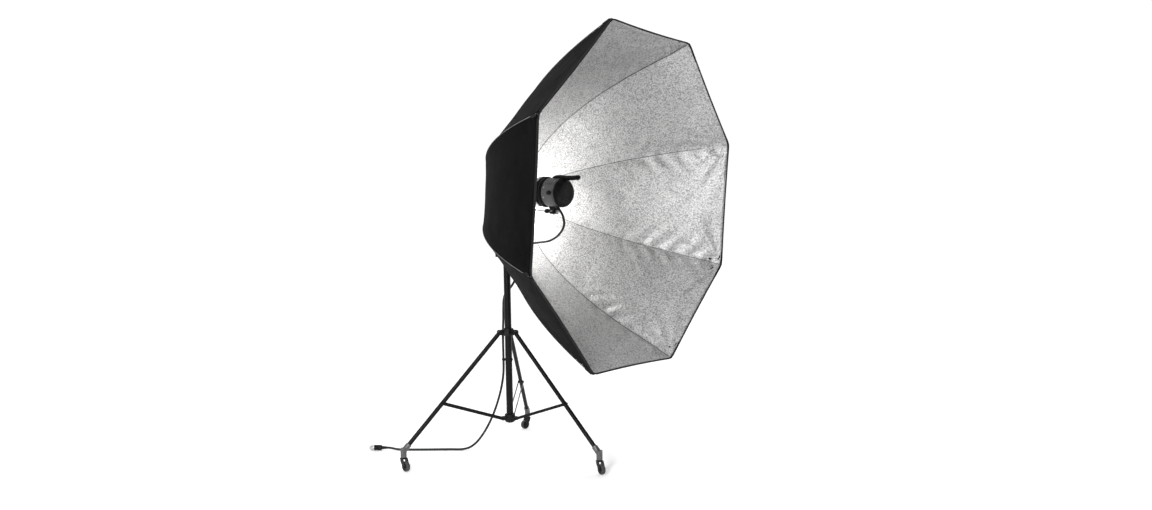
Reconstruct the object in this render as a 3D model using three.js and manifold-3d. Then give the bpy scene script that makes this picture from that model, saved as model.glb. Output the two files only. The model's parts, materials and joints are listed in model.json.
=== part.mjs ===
// Studio softbox with a reversed flash head on a rolling stand.
//
// Units are millimetres and +Z is up. The softbox opens towards +X and leans a little downwards.
// The floor is z = 0, and the origin is under the middle of the object's box. The stand's column
// stands at x = COLUMN_X. The tilting half of the object is drawn in its own group, whose origin
// is the tilt bolt and whose +X is the way that the softbox looks.

import * as THREE from 'three';
import { mergeVertices } from 'three/addons/utils/BufferGeometryUtils.js';
import ManifoldModule from 'manifold-3d';

const wasm = await ManifoldModule();
wasm.setup();

// ---------------------------------------------------------------- driving dimensions

const GAP = 0.3;                        // between pieces that rest on each other
const COLUMN_X = -286.62;               // column axis, from the middle of the object's box

// stand
const COLUMN_R = 17.5;
const COLUMN_WALL = 2;
const COLUMN_FOOT_Z = 186;
const COLUMN_TOP_Z = 1020;
const RISER_R = 14.2;
const RISER_FOOT_Z = 520;
const RISER_TOP_Z = 1150;
const SPIGOT_R = 8;
const HUB_Z = 199;
const HUB_LUG_R = 42;
const COLLAR_Z = 642;
const COLLAR_LUG_R = 46;
const LEG_COUNT = 3;
const LEG_YAW = THREE.MathUtils.degToRad(2.5);
const LEG_R = 11;
const BRACE_ON_LEG = 452;               // from the leg's hinge pin to the brace's rivet
const CASTER_R = 555;                   // stand centre to caster stem
const CASTER_AIM_Z = 96;                // height where a leg's line meets its caster stem
const WHEEL_R = 25;
const WHEEL_WIDTH = 20;
const WHEEL_FACETS = 20;
const CASTER_TRAIL = 18;
const CASTER_HEADINGS = [-23, -103, -8]; // degrees, the way each caster has rolled to rest

// tilting half
const PIVOT_Z = 1242.4;
const TILT = THREE.MathUtils.degToRad(3.27);
const BAR_Z = 34;                       // bar above the tilt bolt
const BAR_R = 8;
const BAR_BACK_X = -46;
const BAR_FRONT_X = 350;
const AXIS_Z = 104;                     // softbox axis above the tilt bolt

// softbox
const SIDES = 8;
const ACROSS_FLATS = 1500;
const RIM_R = ACROSS_FLATS / 2 / Math.cos(Math.PI / SIDES);
const RIM_X = 837.8;
const DEPTH = 770;
const BOWL_POWER = 2.4;
const BOX_ROLL = THREE.MathUtils.degToRad(-2.04);
const HOLE_R = 110;
const COVER_THICK = 1.2;
const LINING_DEEP = 13.5;
const LINING_THICK = 1.2;
const HEM_WIDTH = 10;
const HEM_DEEP = 15;
const RIB_R = 3.5;
const RIB_DEEP = 7;
const HUB_CORE_R = 98;
const PORT_AT_R = 290;                  // corner radius of the bowl where the cable goes through
const PORT_OUTER = 8;                   // how far the grommet stands out of the cloth
const PORT_INNER = 23;                  // how far it reaches in

// flash head
const HEAD_Z = AXIS_Z + 19;
const RING_X = 237;
const RING_R = 75;
const FLANGE_X = 268;
const HOUSING_X = 292;
const HOUSING_R = 70;
const REAR_X = 366;
const REAR_END_X = 398;
const CLAMP_X = 318;

// flash head lead
const LEAD_R = 5;

// ---------------------------------------------------------------- materials

function finish(color, roughness, metalness) {
  return new THREE.MeshStandardMaterial({ color, roughness, metalness });
}

const blackPaint = finish(0x17181a, 0.45, 0.3);
const satinSteel = finish(0xb9bcc0, 0.3, 1.0);
const castGrey = finish(0x8d9094, 0.5, 0.8);
const blackPlastic = finish(0x141414, 0.5, 0.0);
const greyPlastic = finish(0xa3a6a8, 0.55, 0.0);
const tyreGrey = finish(0x6d6e70, 0.8, 0.0);
const blackCloth = finish(0x1b1b1d, 0.9, 0.0);
const silverCloth = finish(0xc9cbcd, 0.4, 0.3);
const glassFibre = finish(0x9a9a96, 0.5, 0.0);
const rubber = finish(0x0e0e0e, 0.7, 0.0);
const clearGlass = finish(0xf4f7f8, 0.05, 0.0);
const warmGlass = finish(0xf6efdc, 0.1, 0.0);

// ---------------------------------------------------------------- solids

function toSolid(geometry) {
  const bare = geometry.clone();
  bare.deleteAttribute('normal');
  bare.deleteAttribute('uv');
  const merged = mergeVertices(bare, 1e-3);
  const index = merged.index.array;
  const triangles = [];
  for (let i = 0; i < index.length; i += 3) {
    const [a, b, c] = [index[i], index[i + 1], index[i + 2]];
    if (a !== b && b !== c && a !== c) triangles.push(a, b, c);
  }
  const mesh = new wasm.Mesh({
    numProp: 3,
    vertProperties: new Float32Array(merged.attributes.position.array),
    triVerts: new Uint32Array(triangles),
  });
  mesh.merge();
  return new wasm.Manifold(mesh);
}

function toGeometry(solid) {
  const mesh = solid.getMesh();
  const geometry = new THREE.BufferGeometry();
  geometry.setAttribute('position', new THREE.BufferAttribute(mesh.vertProperties, 3));
  geometry.setIndex(new THREE.BufferAttribute(mesh.triVerts, 1));
  return geometry;
}

function join(...geometries) {
  return toGeometry(geometries.map(toSolid).reduce((sum, solid) => sum.add(solid)));
}

function cut(geometry, ...tools) {
  return toGeometry(tools.map(toSolid).reduce((rest, tool) => rest.subtract(tool), toSolid(geometry)));
}

// How many flats a round piece of this radius gets.
function facets(radius) {
  if (radius < 5) return 8;
  if (radius < 12.5) return 10;
  if (radius < 36) return 14;
  return 20;
}

// A cylinder between two heights along an axis: 'x', 'y' or 'z'.
function rod(axis, radius, from, to) {
  const geometry = new THREE.CylinderGeometry(radius, radius, to - from, facets(radius));
  geometry.translate(0, (from + to) / 2, 0);
  return turnFromY(geometry, axis);
}

function turnFromY(geometry, axis) {
  if (axis === 'x') geometry.rotateZ(-Math.PI / 2);
  if (axis === 'z') geometry.rotateX(Math.PI / 2);
  return geometry;
}

function block(xs, ys, zs) {
  const geometry = new THREE.BoxGeometry(xs[1] - xs[0], ys[1] - ys[0], zs[1] - zs[0]);
  return geometry.translate((xs[0] + xs[1]) / 2, (ys[0] + ys[1]) / 2, (zs[0] + zs[1]) / 2);
}

// A turned piece. The profile lists [radius, height along the axis] pairs, anticlockwise.
function turned(axis, profile, segments = facets(Math.max(...profile.map(([radius]) => radius)))) {
  const points = profile.map(([radius, along]) => new THREE.Vector2(radius, along));
  const geometry = turnFromY(new THREE.LatheGeometry(points, segments), axis);
  if (toSolid(geometry).volume() > 0) return geometry;
  return turnFromY(new THREE.LatheGeometry(points.reverse(), segments), axis);
}

function ring(axis, inner, outer, from, to) {
  return turned(axis, [[inner, from], [outer, from], [outer, to], [inner, to], [inner, from]]);
}

// A straight-sided plate: an outline of [x, z] points, given a thickness along y.
function plate(outline, fromY, toY) {
  const shape = new THREE.Shape(outline.map(([x, z]) => new THREE.Vector2(x, z)));
  const geometry = new THREE.ExtrudeGeometry(shape, { depth: toY - fromY, bevelEnabled: false });
  return geometry.rotateX(Math.PI / 2).translate(0, toY, 0);
}

// A round bar along a curve.
function sweep(curve, radius, sides, steps) {
  const section = new THREE.Shape();
  for (let i = 0; i < sides; i += 1) {
    const angle = (2 * Math.PI * i) / sides;
    const [x, y] = [radius * Math.cos(angle), radius * Math.sin(angle)];
    if (i === 0) section.moveTo(x, y);
    else section.lineTo(x, y);
  }
  section.closePath();
  return new THREE.ExtrudeGeometry(section, { steps, extrudePath: curve, bevelEnabled: false });
}

// A round bar that follows a smooth curve through the points.
function bent(points, radius, sides, steps) {
  const curve = new THREE.CatmullRomCurve3(points.map((p) => new THREE.Vector3(...p)), false, 'centripetal');
  return sweep(curve, radius, sides, steps);
}

// A hand knob with shallow lobes: its stud starts at the origin and runs along +X.
function handKnob(studFrom, gripFrom, gripTo, gripR, studR = 3.5) {
  const lobes = 6;
  const outline = [];
  const points = lobes * 4;
  for (let i = 0; i < points; i += 1) {
    const angle = (2 * Math.PI * i) / points;
    const radius = gripR * (1 + 0.07 * Math.cos(lobes * angle));
    outline.push(new THREE.Vector2(radius * Math.cos(angle), radius * Math.sin(angle)));
  }
  const options = { depth: gripTo - gripFrom, bevelEnabled: false };
  const grip = new THREE.ExtrudeGeometry(new THREE.Shape(outline), options);
  grip.rotateY(Math.PI / 2).translate(gripFrom, 0, 0);
  const stud = rod('x', studR, studFrom, gripFrom + 2);
  const washer = rod('x', gripR * 0.62, gripFrom - 3, gripFrom + 1);
  return join(grip, stud, washer);
}

// ---------------------------------------------------------------- scene helpers

const softbox = new THREE.Group();
softbox.name = 'studio_softbox';
softbox.position.x = COLUMN_X;

function group(parent, position = [0, 0, 0], rotation = [0, 0, 0]) {
  const made = new THREE.Group();
  made.position.set(...position);
  made.rotation.set(...rotation);
  parent.add(made);
  return made;
}

function piece(parent, name, geometry, material, position = [0, 0, 0], rotation = [0, 0, 0]) {
  const mesh = new THREE.Mesh(geometry, material);
  mesh.name = name;
  mesh.position.set(...position);
  mesh.rotation.set(...rotation);
  parent.add(mesh);
  return mesh;
}

// ---------------------------------------------------------------- column, riser and clamps

function addColumn() {
  const bore = COLUMN_R - COLUMN_WALL;
  piece(softbox, 'column_tube', ring('z', bore, COLUMN_R, COLUMN_FOOT_Z, COLUMN_TOP_Z), blackPaint);
  const riserBore = RISER_R - 2;
  const riser = ring('z', riserBore, RISER_R, RISER_FOOT_Z, RISER_TOP_Z);
  const spigot = turned('z', [
    [0, RISER_TOP_Z - 30], [riserBore + 0.5, RISER_TOP_Z - 30], [riserBore + 0.5, RISER_TOP_Z],
    [17, RISER_TOP_Z], [17, RISER_TOP_Z + 10], [15, RISER_TOP_Z + 13], [SPIGOT_R, RISER_TOP_Z + 13],
    [SPIGOT_R, RISER_TOP_Z + 48], [SPIGOT_R - 1.5, RISER_TOP_Z + 50], [0, RISER_TOP_Z + 50],
  ]);
  piece(softbox, 'riser_tube', join(riser, spigot), blackPaint);
}

const CLAMP_KNOB_HEADING = THREE.MathUtils.degToRad(218);
const CLAMP_KNOB_Z = 1040;

function addColumnClamp() {
  const body = turned('z', [
    [COLUMN_R + GAP, 996], [24, 996], [26, 1000], [26, 1052], [22, 1057],
    [RISER_R + 0.4, 1057], [RISER_R + 0.4, COLUMN_TOP_Z + GAP], [COLUMN_R + GAP, COLUMN_TOP_Z + GAP],
    [COLUMN_R + GAP, 996],
  ]);
  const boss = turnZ(rod('x', 9, 20, 34), CLAMP_KNOB_HEADING, CLAMP_KNOB_Z);
  const riserWay = rod('z', RISER_R + 0.4, 990, 1060);
  const screwHole = turnZ(rod('x', 3.9, 5, 40), CLAMP_KNOB_HEADING, CLAMP_KNOB_Z);
  piece(softbox, 'column_clamp', cut(join(body, boss), riserWay, screwHole), blackPlastic);
  const knob = handKnob(RISER_R + 0.7, 38, 56, 14);
  piece(softbox, 'column_clamp_knob', knob, blackPlastic, [0, 0, CLAMP_KNOB_Z], [0, 0, CLAMP_KNOB_HEADING]);
}

function turnZ(geometry, heading, z) {
  return geometry.rotateZ(heading).translate(0, 0, z);
}

// ---------------------------------------------------------------- legs, braces and casters

const legRun = CASTER_R - COLLAR_LUG_R;
const legDrop = COLLAR_Z - CASTER_AIM_Z;
const LEG_ANGLE = Math.atan2(legRun, legDrop);
const LEG_REACH = Math.hypot(legRun, legDrop);
const rivetR = COLLAR_LUG_R + BRACE_ON_LEG * Math.sin(LEG_ANGLE);
const rivetZ = COLLAR_Z - BRACE_ON_LEG * Math.cos(LEG_ANGLE);
const BRACE_ANGLE = Math.atan2(rivetZ - HUB_Z, rivetR - HUB_LUG_R);
const BRACE_LENGTH = Math.hypot(rivetR - HUB_LUG_R, rivetZ - HUB_Z);
const EAR_INNER = 12.4;                 // half the space between a pair of ears or strips
const EAR_OUTER = 15.4;

function aroundStand(make) {
  const made = [];
  for (let i = 0; i < LEG_COUNT; i += 1) made.push(make(LEG_YAW + (i * 2 * Math.PI) / LEG_COUNT, i));
  return made;
}

function addCollar() {
  const knobHeading = LEG_YAW - Math.PI / 3;
  const ears = aroundStand((yaw) => {
    const sides = [-1, 1].map((side) => {
      const ys = side > 0 ? [EAR_INNER, EAR_OUTER] : [-EAR_OUTER, -EAR_INNER];
      const ear = plate([[16, -12], [50, -12], [56, -6], [56, 6], [50, 12], [16, 12]], ...ys);
      return ear;
    });
    const pin = rod('y', 4, -EAR_OUTER - 2, EAR_OUTER + 2).translate(COLLAR_LUG_R, 0, 0);
    return turnZ(join(...sides, pin), yaw, COLLAR_Z);
  });
  const sleeve = turned('z', [
    [12, COLLAR_Z - 19], [25, COLLAR_Z - 19], [27.5, COLLAR_Z - 15], [27.5, COLLAR_Z + 15],
    [25, COLLAR_Z + 19], [12, COLLAR_Z + 19], [12, COLLAR_Z - 19],
  ]);
  const columnWay = rod('z', COLUMN_R + 0.5, COLLAR_Z - 30, COLLAR_Z + 30);
  const screwHole = turnZ(rod('x', 3.9, 10, 40), knobHeading, COLLAR_Z);
  piece(softbox, 'leg_collar', cut(join(sleeve, ...ears), columnWay, screwHole), blackPlastic);
  const knob = handKnob(COLUMN_R + 0.6, 31, 46, 13);
  piece(softbox, 'collar_knob', knob, blackPlastic, [0, 0, COLLAR_Z], [0, 0, knobHeading]);
}

function addFootHub() {
  const lugs = aroundStand((yaw) => {
    const lug = block([20, HUB_LUG_R], [-12, 12], [HUB_Z - 9, HUB_Z + 9]);
    const nose = rod('y', 9, -12, 12).translate(HUB_LUG_R, 0, HUB_Z);
    const hole = rod('y', 4.4, -16, 16).translate(HUB_LUG_R, 0, HUB_Z);
    return cut(join(lug, nose), hole).rotateZ(yaw);
  });
  const cup = turned('z', [
    [0, 174], [14, 174], [24, 179], [27, 184], [27, 216], [24, 219], [0, 219],
  ]);
  const pocket = rod('z', COLUMN_R + GAP, COLUMN_FOOT_Z - GAP, 240);
  piece(softbox, 'foot_hub', cut(join(cup, ...lugs), pocket), blackPlastic);
}

function addLeg(yaw, number) {
  const stand = group(softbox, [0, 0, 0], [0, 0, yaw]);
  const leg = group(stand, [COLLAR_LUG_R, 0, COLLAR_Z], [0, -LEG_ANGLE, 0]);
  const tubeEnd = -(LEG_REACH - 24);
  const tube = ring('z', LEG_R - 1.6, LEG_R, tubeEnd, -14);
  const eye = rod('y', 9.5, -EAR_INNER + GAP, EAR_INNER - GAP);
  const neck = rod('z', LEG_R - 1, -24, -4);
  const rivetBoss = rod('y', 7, -EAR_INNER + GAP, EAR_INNER - GAP).translate(0, 0, -BRACE_ON_LEG);
  const pinHole = rod('y', 4.4, -20, 20);
  piece(leg, `leg_tube_${number}`, cut(join(tube, eye, neck, rivetBoss), pinHole), blackPaint);
  const sleeve = rod('z', 14.5, -(LEG_REACH - 2), -(LEG_REACH - 42));
  const tubeWay = rod('z', LEG_R + GAP, tubeEnd - GAP, -500);
  const socketPost = rod('z', 15, 68, 112);
  const stemBore = rod('z', 6.4, 50, 98);
  const turnedSleeve = sleeve.rotateY(-LEG_ANGLE).translate(COLLAR_LUG_R - CASTER_R, 0, COLLAR_Z);
  const turnedWay = tubeWay.rotateY(-LEG_ANGLE).translate(COLLAR_LUG_R - CASTER_R, 0, COLLAR_Z);
  const topTrim = block([-60, 60], [-30, 30], [134, 190]);
  const casting = cut(join(socketPost, turnedSleeve), turnedWay, stemBore, topTrim);
  piece(stand, `caster_socket_${number}`, casting, castGrey, [CASTER_R, 0, 0]);
}

function addBrace(yaw, number) {
  const stand = group(softbox, [0, 0, 0], [0, 0, yaw]);
  const brace = group(stand, [HUB_LUG_R, 0, HUB_Z], [0, -BRACE_ANGLE, 0]);
  const halfWide = 7;
  const outline = [
    [-6, -halfWide + 3], [-3, -halfWide], [BRACE_LENGTH + 3, -halfWide], [BRACE_LENGTH + 6, -halfWide + 3],
    [BRACE_LENGTH + 6, halfWide - 3], [BRACE_LENGTH + 3, halfWide], [-3, halfWide], [-6, halfWide - 3],
  ];
  const strips = [
    plate(outline, EAR_INNER, EAR_INNER + 2.2),
    plate(outline, -EAR_INNER - 2.2, -EAR_INNER),
  ];
  const pin = rod('y', 4, -17.5, 17.5);
  const heads = [-1, 1].map((side) => {
    const ys = side > 0 ? [14.4, 17] : [-17, -14.4];
    return rod('y', 5.5, ...ys).translate(BRACE_LENGTH, 0, 0);
  });
  piece(brace, `brace_${number}`, join(...strips, pin, ...heads), blackPaint);
}

function addCaster(yaw, number) {
  const heading = THREE.MathUtils.degToRad(CASTER_HEADINGS[number]);
  const stem = [CASTER_R * Math.cos(yaw), CASTER_R * Math.sin(yaw), 0];
  const caster = group(softbox, stem, [0, 0, heading]);
  const cheekOutline = [[-13, 64], [13, 64], [27, 34], [26, 21], [19, 16], [11, 18], [-8, 46]];
  const fork = join(
    rod('z', 6, 56, 92),
    rod('z', 14.5, 60, 66),
    plate(cheekOutline, 11.2, 14),
    plate(cheekOutline, -14, -11.2),
    block([-9, 9], [-13, 13], [58, 62]),
    rod('y', 4, -15.5, 15.5).translate(CASTER_TRAIL, 0, WHEEL_R),
  );
  piece(caster, `caster_fork_${number + 1}`, fork, blackPlastic);
  const rim = WHEEL_R / Math.cos(Math.PI / WHEEL_FACETS);
  const half = WHEEL_WIDTH / 2;
  const wheel = turned('y', [
    [4.5, -half], [rim - 3, -half], [rim, -half + 3], [rim, half - 3], [rim - 3, half], [4.5, half],
    [4.5, -half],
  ], WHEEL_FACETS);
  wheel.rotateY(Math.PI / WHEEL_FACETS);
  piece(caster, `caster_wheel_${number + 1}`, wheel, tyreGrey, [CASTER_TRAIL, 0, WHEEL_R]);
}

// ---------------------------------------------------------------- swivel and tilt bracket

function addBracket() {
  const floor = RISER_TOP_Z + 13 + GAP;
  const socket = join(
    turned('z', [[0, floor], [18, floor], [20, floor + 3], [20, floor + 46], [0, floor + 46]]),
    block([-16, 16], [-21, 21], [floor + 42, floor + 52]),
    plate([[-16, floor + 46], [16, floor + 46], [14, PIVOT_Z + 8], [8, PIVOT_Z + 15],
      [-8, PIVOT_Z + 15], [-14, PIVOT_Z + 8]], 14.4, 21),
    plate([[-16, floor + 46], [16, floor + 46], [14, PIVOT_Z + 8], [8, PIVOT_Z + 15],
      [-8, PIVOT_Z + 15], [-14, PIVOT_Z + 8]], -21, -14.4),
  );
  const spigotWay = rod('z', SPIGOT_R + 0.5, floor - 5, RISER_TOP_Z + 52);
  const boltHole = rod('y', 5.4, -30, 30).translate(0, 0, PIVOT_Z);
  const screwHole = rod('x', 3.9, -40, -2).translate(0, 0, SWIVEL_KNOB_Z);
  piece(softbox, 'swivel_socket', cut(socket, spigotWay, boltHole, screwHole), blackPaint);
  const knob = handKnob(SPIGOT_R + 0.7, 25, 41, 13);
  piece(softbox, 'swivel_knob', knob, blackPlastic, [0, 0, SWIVEL_KNOB_Z], [0, 0, Math.PI]);
}

const SWIVEL_KNOB_Z = 1188;
const tilting = group(softbox, [0, 0, PIVOT_Z], [0, TILT, 0]);

function addTiltBlock() {
  const body = join(
    rod('y', 14, -14, 14),
    block([-14, 14], [-14, 14], [0, BAR_Z + 14]),
    block([-18, 18], [-13, 13], [BAR_Z - 13, BAR_Z + 13]),
  );
  const barWay = rod('x', BAR_R + GAP, -60, 60).translate(0, 0, BAR_Z);
  const boltHole = rod('y', 5.4, -30, 30);
  piece(tilting, 'tilt_block', cut(body, barWay, boltHole), blackPaint);
  const lever = join(
    rod('y', 5, -32, 23),
    rod('y', 9, 21.4, 27),
    rod('y', 11, -36, -21.4),
    bent([[0, -30, 0], [-28, -31, -18], [-60, -36, -34]], 4.5, 10, 6),
    new THREE.SphereGeometry(9, 10, 7).translate(-62, -36, -35),
  );
  piece(tilting, 'tilt_handle', lever, blackPlastic);
}

function addBar() {
  const stop = (from, to) => rod('x', BAR_R + 1.5, from, to);
  const bar = join(
    rod('x', BAR_R, BAR_BACK_X, BAR_FRONT_X),
    stop(BAR_FRONT_X - 1, BAR_FRONT_X + 8),
    stop(BAR_BACK_X - 8, BAR_BACK_X + 1),
  );
  piece(tilting, 'head_bar', bar, satinSteel, [0, 0, BAR_Z]);
}

// ---------------------------------------------------------------- softbox: hub, ribs and cloth

const bowl = group(tilting, [0, 0, AXIS_Z], [BOX_ROLL, 0, 0]);
const CORNER_SHARE = 1 / Math.cos(Math.PI / SIDES);

// The bowl's corner line: where a cloth at the given depth inside it runs, as [corner radius, x].
function bowlPoint(cornerR, inward) {
  const share = cornerR / RIM_R;
  const slope = (DEPTH * BOWL_POWER / RIM_R) * share ** (BOWL_POWER - 1);
  const length = Math.hypot(1, slope);
  const x = RIM_X - DEPTH * (1 - share ** BOWL_POWER) + inward / length;
  return [cornerR - (inward * slope / length) * CORNER_SHARE, x];
}

function bowlStations(rimR, holeR, count) {
  const stations = [];
  for (let i = 0; i <= count; i += 1) stations.push(holeR + (rimR - holeR) * (1 - i / count) ** 0.75);
  return stations;
}

function octagonal(profile) {
  const geometry = turned('x', profile, SIDES);
  return geometry.rotateX(Math.PI / SIDES);
}

function bowlShell(deep, thick, rimR) {
  const stations = bowlStations(rimR, HOLE_R, 15);
  const outer = stations.map((r) => bowlPoint(r, deep));
  const inner = stations.map((r) => bowlPoint(r, deep + thick)).reverse();
  return octagonal([...outer, ...inner, outer[0]]);
}

function portFrame() {
  const [cornerR, x] = bowlPoint(PORT_AT_R, 0);
  const slope = (DEPTH * BOWL_POWER / RIM_R) * (PORT_AT_R / RIM_R) ** (BOWL_POWER - 1);
  const flatR = cornerR * Math.cos(Math.PI / SIDES);
  return { at: [x, 0, -flatR], tip: Math.atan2(slope, 1) };
}

// A piece that points along +X into the bowl, moved to the cable port.
function toPort(geometry) {
  const port = portFrame();
  return geometry.rotateY(-port.tip).translate(...port.at);
}

function addCloth() {
  const clothRimR = RIM_R - HEM_WIDTH * 0.45;
  const portWay = toPort(rod('x', 13, -30, 40));
  piece(bowl, 'outer_cover', cut(bowlShell(0, COVER_THICK, clothRimR), portWay), blackCloth);
  piece(bowl, 'silver_lining', cut(bowlShell(LINING_DEEP, LINING_THICK, clothRimR), portWay), silverCloth);
  const [, clothEnd] = bowlPoint(clothRimR, LINING_DEEP + LINING_THICK);
  const hemR = (deep) => RIM_R - deep * CORNER_SHARE;
  const hem = octagonal([
    [hemR(0), clothEnd + GAP], [hemR(0), clothEnd + HEM_WIDTH], [hemR(HEM_DEEP), clothEnd + HEM_WIDTH],
    [hemR(HEM_DEEP), clothEnd + GAP], [hemR(0), clothEnd + GAP],
  ]);
  piece(bowl, 'rim_hem', hem, blackCloth);
}

function addRibs() {
  const tipR = RIM_R - 12;
  for (let i = 0; i < SIDES; i += 1) {
    const angle = ((i + 0.5) * 2 * Math.PI) / SIDES;
    const stations = bowlStations(tipR, HUB_CORE_R - 12, 9);
    const points = stations.map((cornerR) => {
      const [r, x] = bowlPoint(cornerR, RIB_DEEP);
      return [x, r * Math.cos(angle), r * Math.sin(angle)];
    });
    piece(bowl, `rib_${i + 1}`, bent(points, RIB_R, 6, 15), glassFibre);
  }
}

function addHub() {
  const [, coreX] = bowlPoint(HUB_CORE_R, RIB_DEEP);
  const turnedHub = (profile) => turned('x', profile);
  const barWay = rod('x', BAR_R + GAP, 0, 140).rotateX(-BOX_ROLL);
  const barAt = new THREE.Vector3(0, 0, BAR_Z - AXIS_Z).applyAxisAngle(new THREE.Vector3(1, 0, 0), -BOX_ROLL);
  barWay.translate(barAt.x, barAt.y, barAt.z);
  const pockets = [];
  for (let i = 0; i < SIDES; i += 1) {
    const angle = ((i + 0.5) * 2 * Math.PI) / SIDES;
    pockets.push(rod('y', RIB_R + 2, HUB_CORE_R - 17, HUB_CORE_R + 20).translate(coreX, 0, 0).rotateX(angle));
  }
  const core = turnedHub([
    [0, coreX - 10], [HUB_CORE_R, coreX - 10], [HUB_CORE_R, coreX + 13], [106, coreX + 13],
    [112, coreX + 15], [110, coreX + 17], [0, coreX + 17],
  ]);
  piece(bowl, 'hub_core', cut(core, barWay, ...pockets), castGrey);
  const backCap = turnedHub([
    [0, coreX - 24], [104, coreX - 24], [114, coreX - 20], [116, coreX - 9.5], [108, coreX - 9.5],
    [106, coreX - 10 - GAP], [0, coreX - 10 - GAP],
  ]);
  piece(bowl, 'hub_back_cap', cut(backCap, barWay), blackPlastic);
}

function addCablePort() {
  const grommet = turned('x', [
    [0, -PORT_OUTER], [9, -PORT_OUTER], [12, -5], [18, -2.5], [18, -0.6], [11.6, -0.6],
    [11.6, PORT_INNER - 5], [17, PORT_INNER - 5], [17, PORT_INNER - 3], [10, PORT_INNER], [0, PORT_INNER],
  ]);
  piece(bowl, 'cable_port', toPort(grommet), rubber);
}

// ---------------------------------------------------------------- flash head

const head = group(tilting, [0, 0, HEAD_Z]);

function addHeadBody() {
  const ringProfile = [
    [60, RING_X], [RING_R - 1, RING_X], [RING_R, RING_X + 2], [RING_R, RING_X + 7], [RING_R - 4, RING_X + 8],
    [RING_R - 4, RING_X + 12], [RING_R, RING_X + 13], [RING_R, RING_X + 27], [RING_R - 2, RING_X + 30],
    [60, RING_X + 30], [60, RING_X],
  ];
  piece(head, 'bayonet_ring', turned('x', ringProfile), satinSteel);
  const flange = turned('x', [
    [0, FLANGE_X + 3], [60, FLANGE_X + 3], [60, FLANGE_X], [68, FLANGE_X], [68, FLANGE_X + 5],
    [74, FLANGE_X + 6], [74, FLANGE_X + 11], [67, FLANGE_X + 13], [67, HOUSING_X - GAP],
    [60, HOUSING_X - GAP], [60, FLANGE_X + 7], [0, FLANGE_X + 7],
  ]);
  piece(head, 'mount_flange', flange, blackPlastic);
  const wall = 3;
  const shell = turned('x', [
    [HOUSING_R - 8, HOUSING_X], [HOUSING_R, HOUSING_X], [HOUSING_R, REAR_X - GAP],
    [HOUSING_R - wall, REAR_X - GAP], [HOUSING_R - wall, HOUSING_X + 4], [HOUSING_R - 8, HOUSING_X + 4],
    [HOUSING_R - 8, HOUSING_X],
  ]);
  const dialHole = rod('y', 5.4, -90, -40).translate(DIAL_X, 0, 0);
  const glandHole = toGland(rod('x', GLAND_R + 0.6, -20, 20));
  piece(head, 'front_housing', cut(shell, dialHole, glandHole), greyPlastic);
  const rear = turned('x', [
    [0, REAR_END_X], [0, REAR_END_X - 3], [50, REAR_END_X - 3], [62, REAR_END_X - 13],
    [HOUSING_R - 4, REAR_X], [HOUSING_R, REAR_X], [HOUSING_R, REAR_X + 6], [66, REAR_END_X - 14],
    [53, REAR_END_X], [0, REAR_END_X],
  ]);
  piece(head, 'rear_cover', cut(rear, glandHole), blackPlastic);
}

const DIAL_X = 344;
const GLAND_AT = [350, -21, -61.2];
const GLAND_LEAN = THREE.MathUtils.degToRad(47);
const GLAND_SPLAY = THREE.MathUtils.degToRad(-10);
const GLAND_R = 8.5;
const GLAND_LENGTH = 30;

// A piece that points along +X, moved to where the lead leaves the head.
function toGland(geometry) {
  return geometry.rotateY(Math.PI / 2 - GLAND_LEAN).rotateX(GLAND_SPLAY).translate(...GLAND_AT);
}

function addHeadControls() {
  const dial = join(
    turned('y', [[0, -82], [8.5, -82], [10, -80.5], [10, -HOUSING_R - GAP], [0, -HOUSING_R - GAP]]),
    rod('y', 4.8, -HOUSING_R - 1, -HOUSING_R + 8),
  );
  piece(head, 'power_dial', dial, blackPlastic, [DIAL_X, 0, 0]);
  const under = rod('x', HOUSING_R + GAP, 200, 420);
  const mountBlock = cut(block([312, 362], [-15, 15], [60, 80]), under);
  const arm = bent([[330, 0, 73], [362, 0, 72], [400, 0, 71.5], [452, 0, 75]], 11, 10, 6);
  const knobEnd = new THREE.SphereGeometry(13, 12, 8).translate(458, 0, 75);
  piece(head, 'grip_handle', cut(join(mountBlock, arm, knobEnd), under), blackPlastic);
}

function addHeadClamp() {
  const barZ = BAR_Z - HEAD_Z;
  const under = rod('x', HOUSING_R + GAP, 200, 420);
  const body = join(
    block([CLAMP_X - 15, CLAMP_X + 15], [-16, 16], [barZ - 15, barZ + 16]),
    block([CLAMP_X - 15, CLAMP_X + 15], [-20, 20], [barZ + 12, -58]),
  );
  const barWay = rod('x', BAR_R + 0.4, 200, 420).translate(0, 0, barZ);
  const screwHole = rod('y', 3.9, -40, 0).translate(CLAMP_X, 0, barZ);
  piece(head, 'head_clamp', cut(body, under, barWay, screwHole), blackPaint);
  const knob = handKnob(BAR_R + 0.8, 40, 62, 11);
  piece(head, 'head_clamp_knob', knob, blackPlastic, [CLAMP_X, 0, barZ], [0, 0, -Math.PI / 2]);
}

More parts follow.
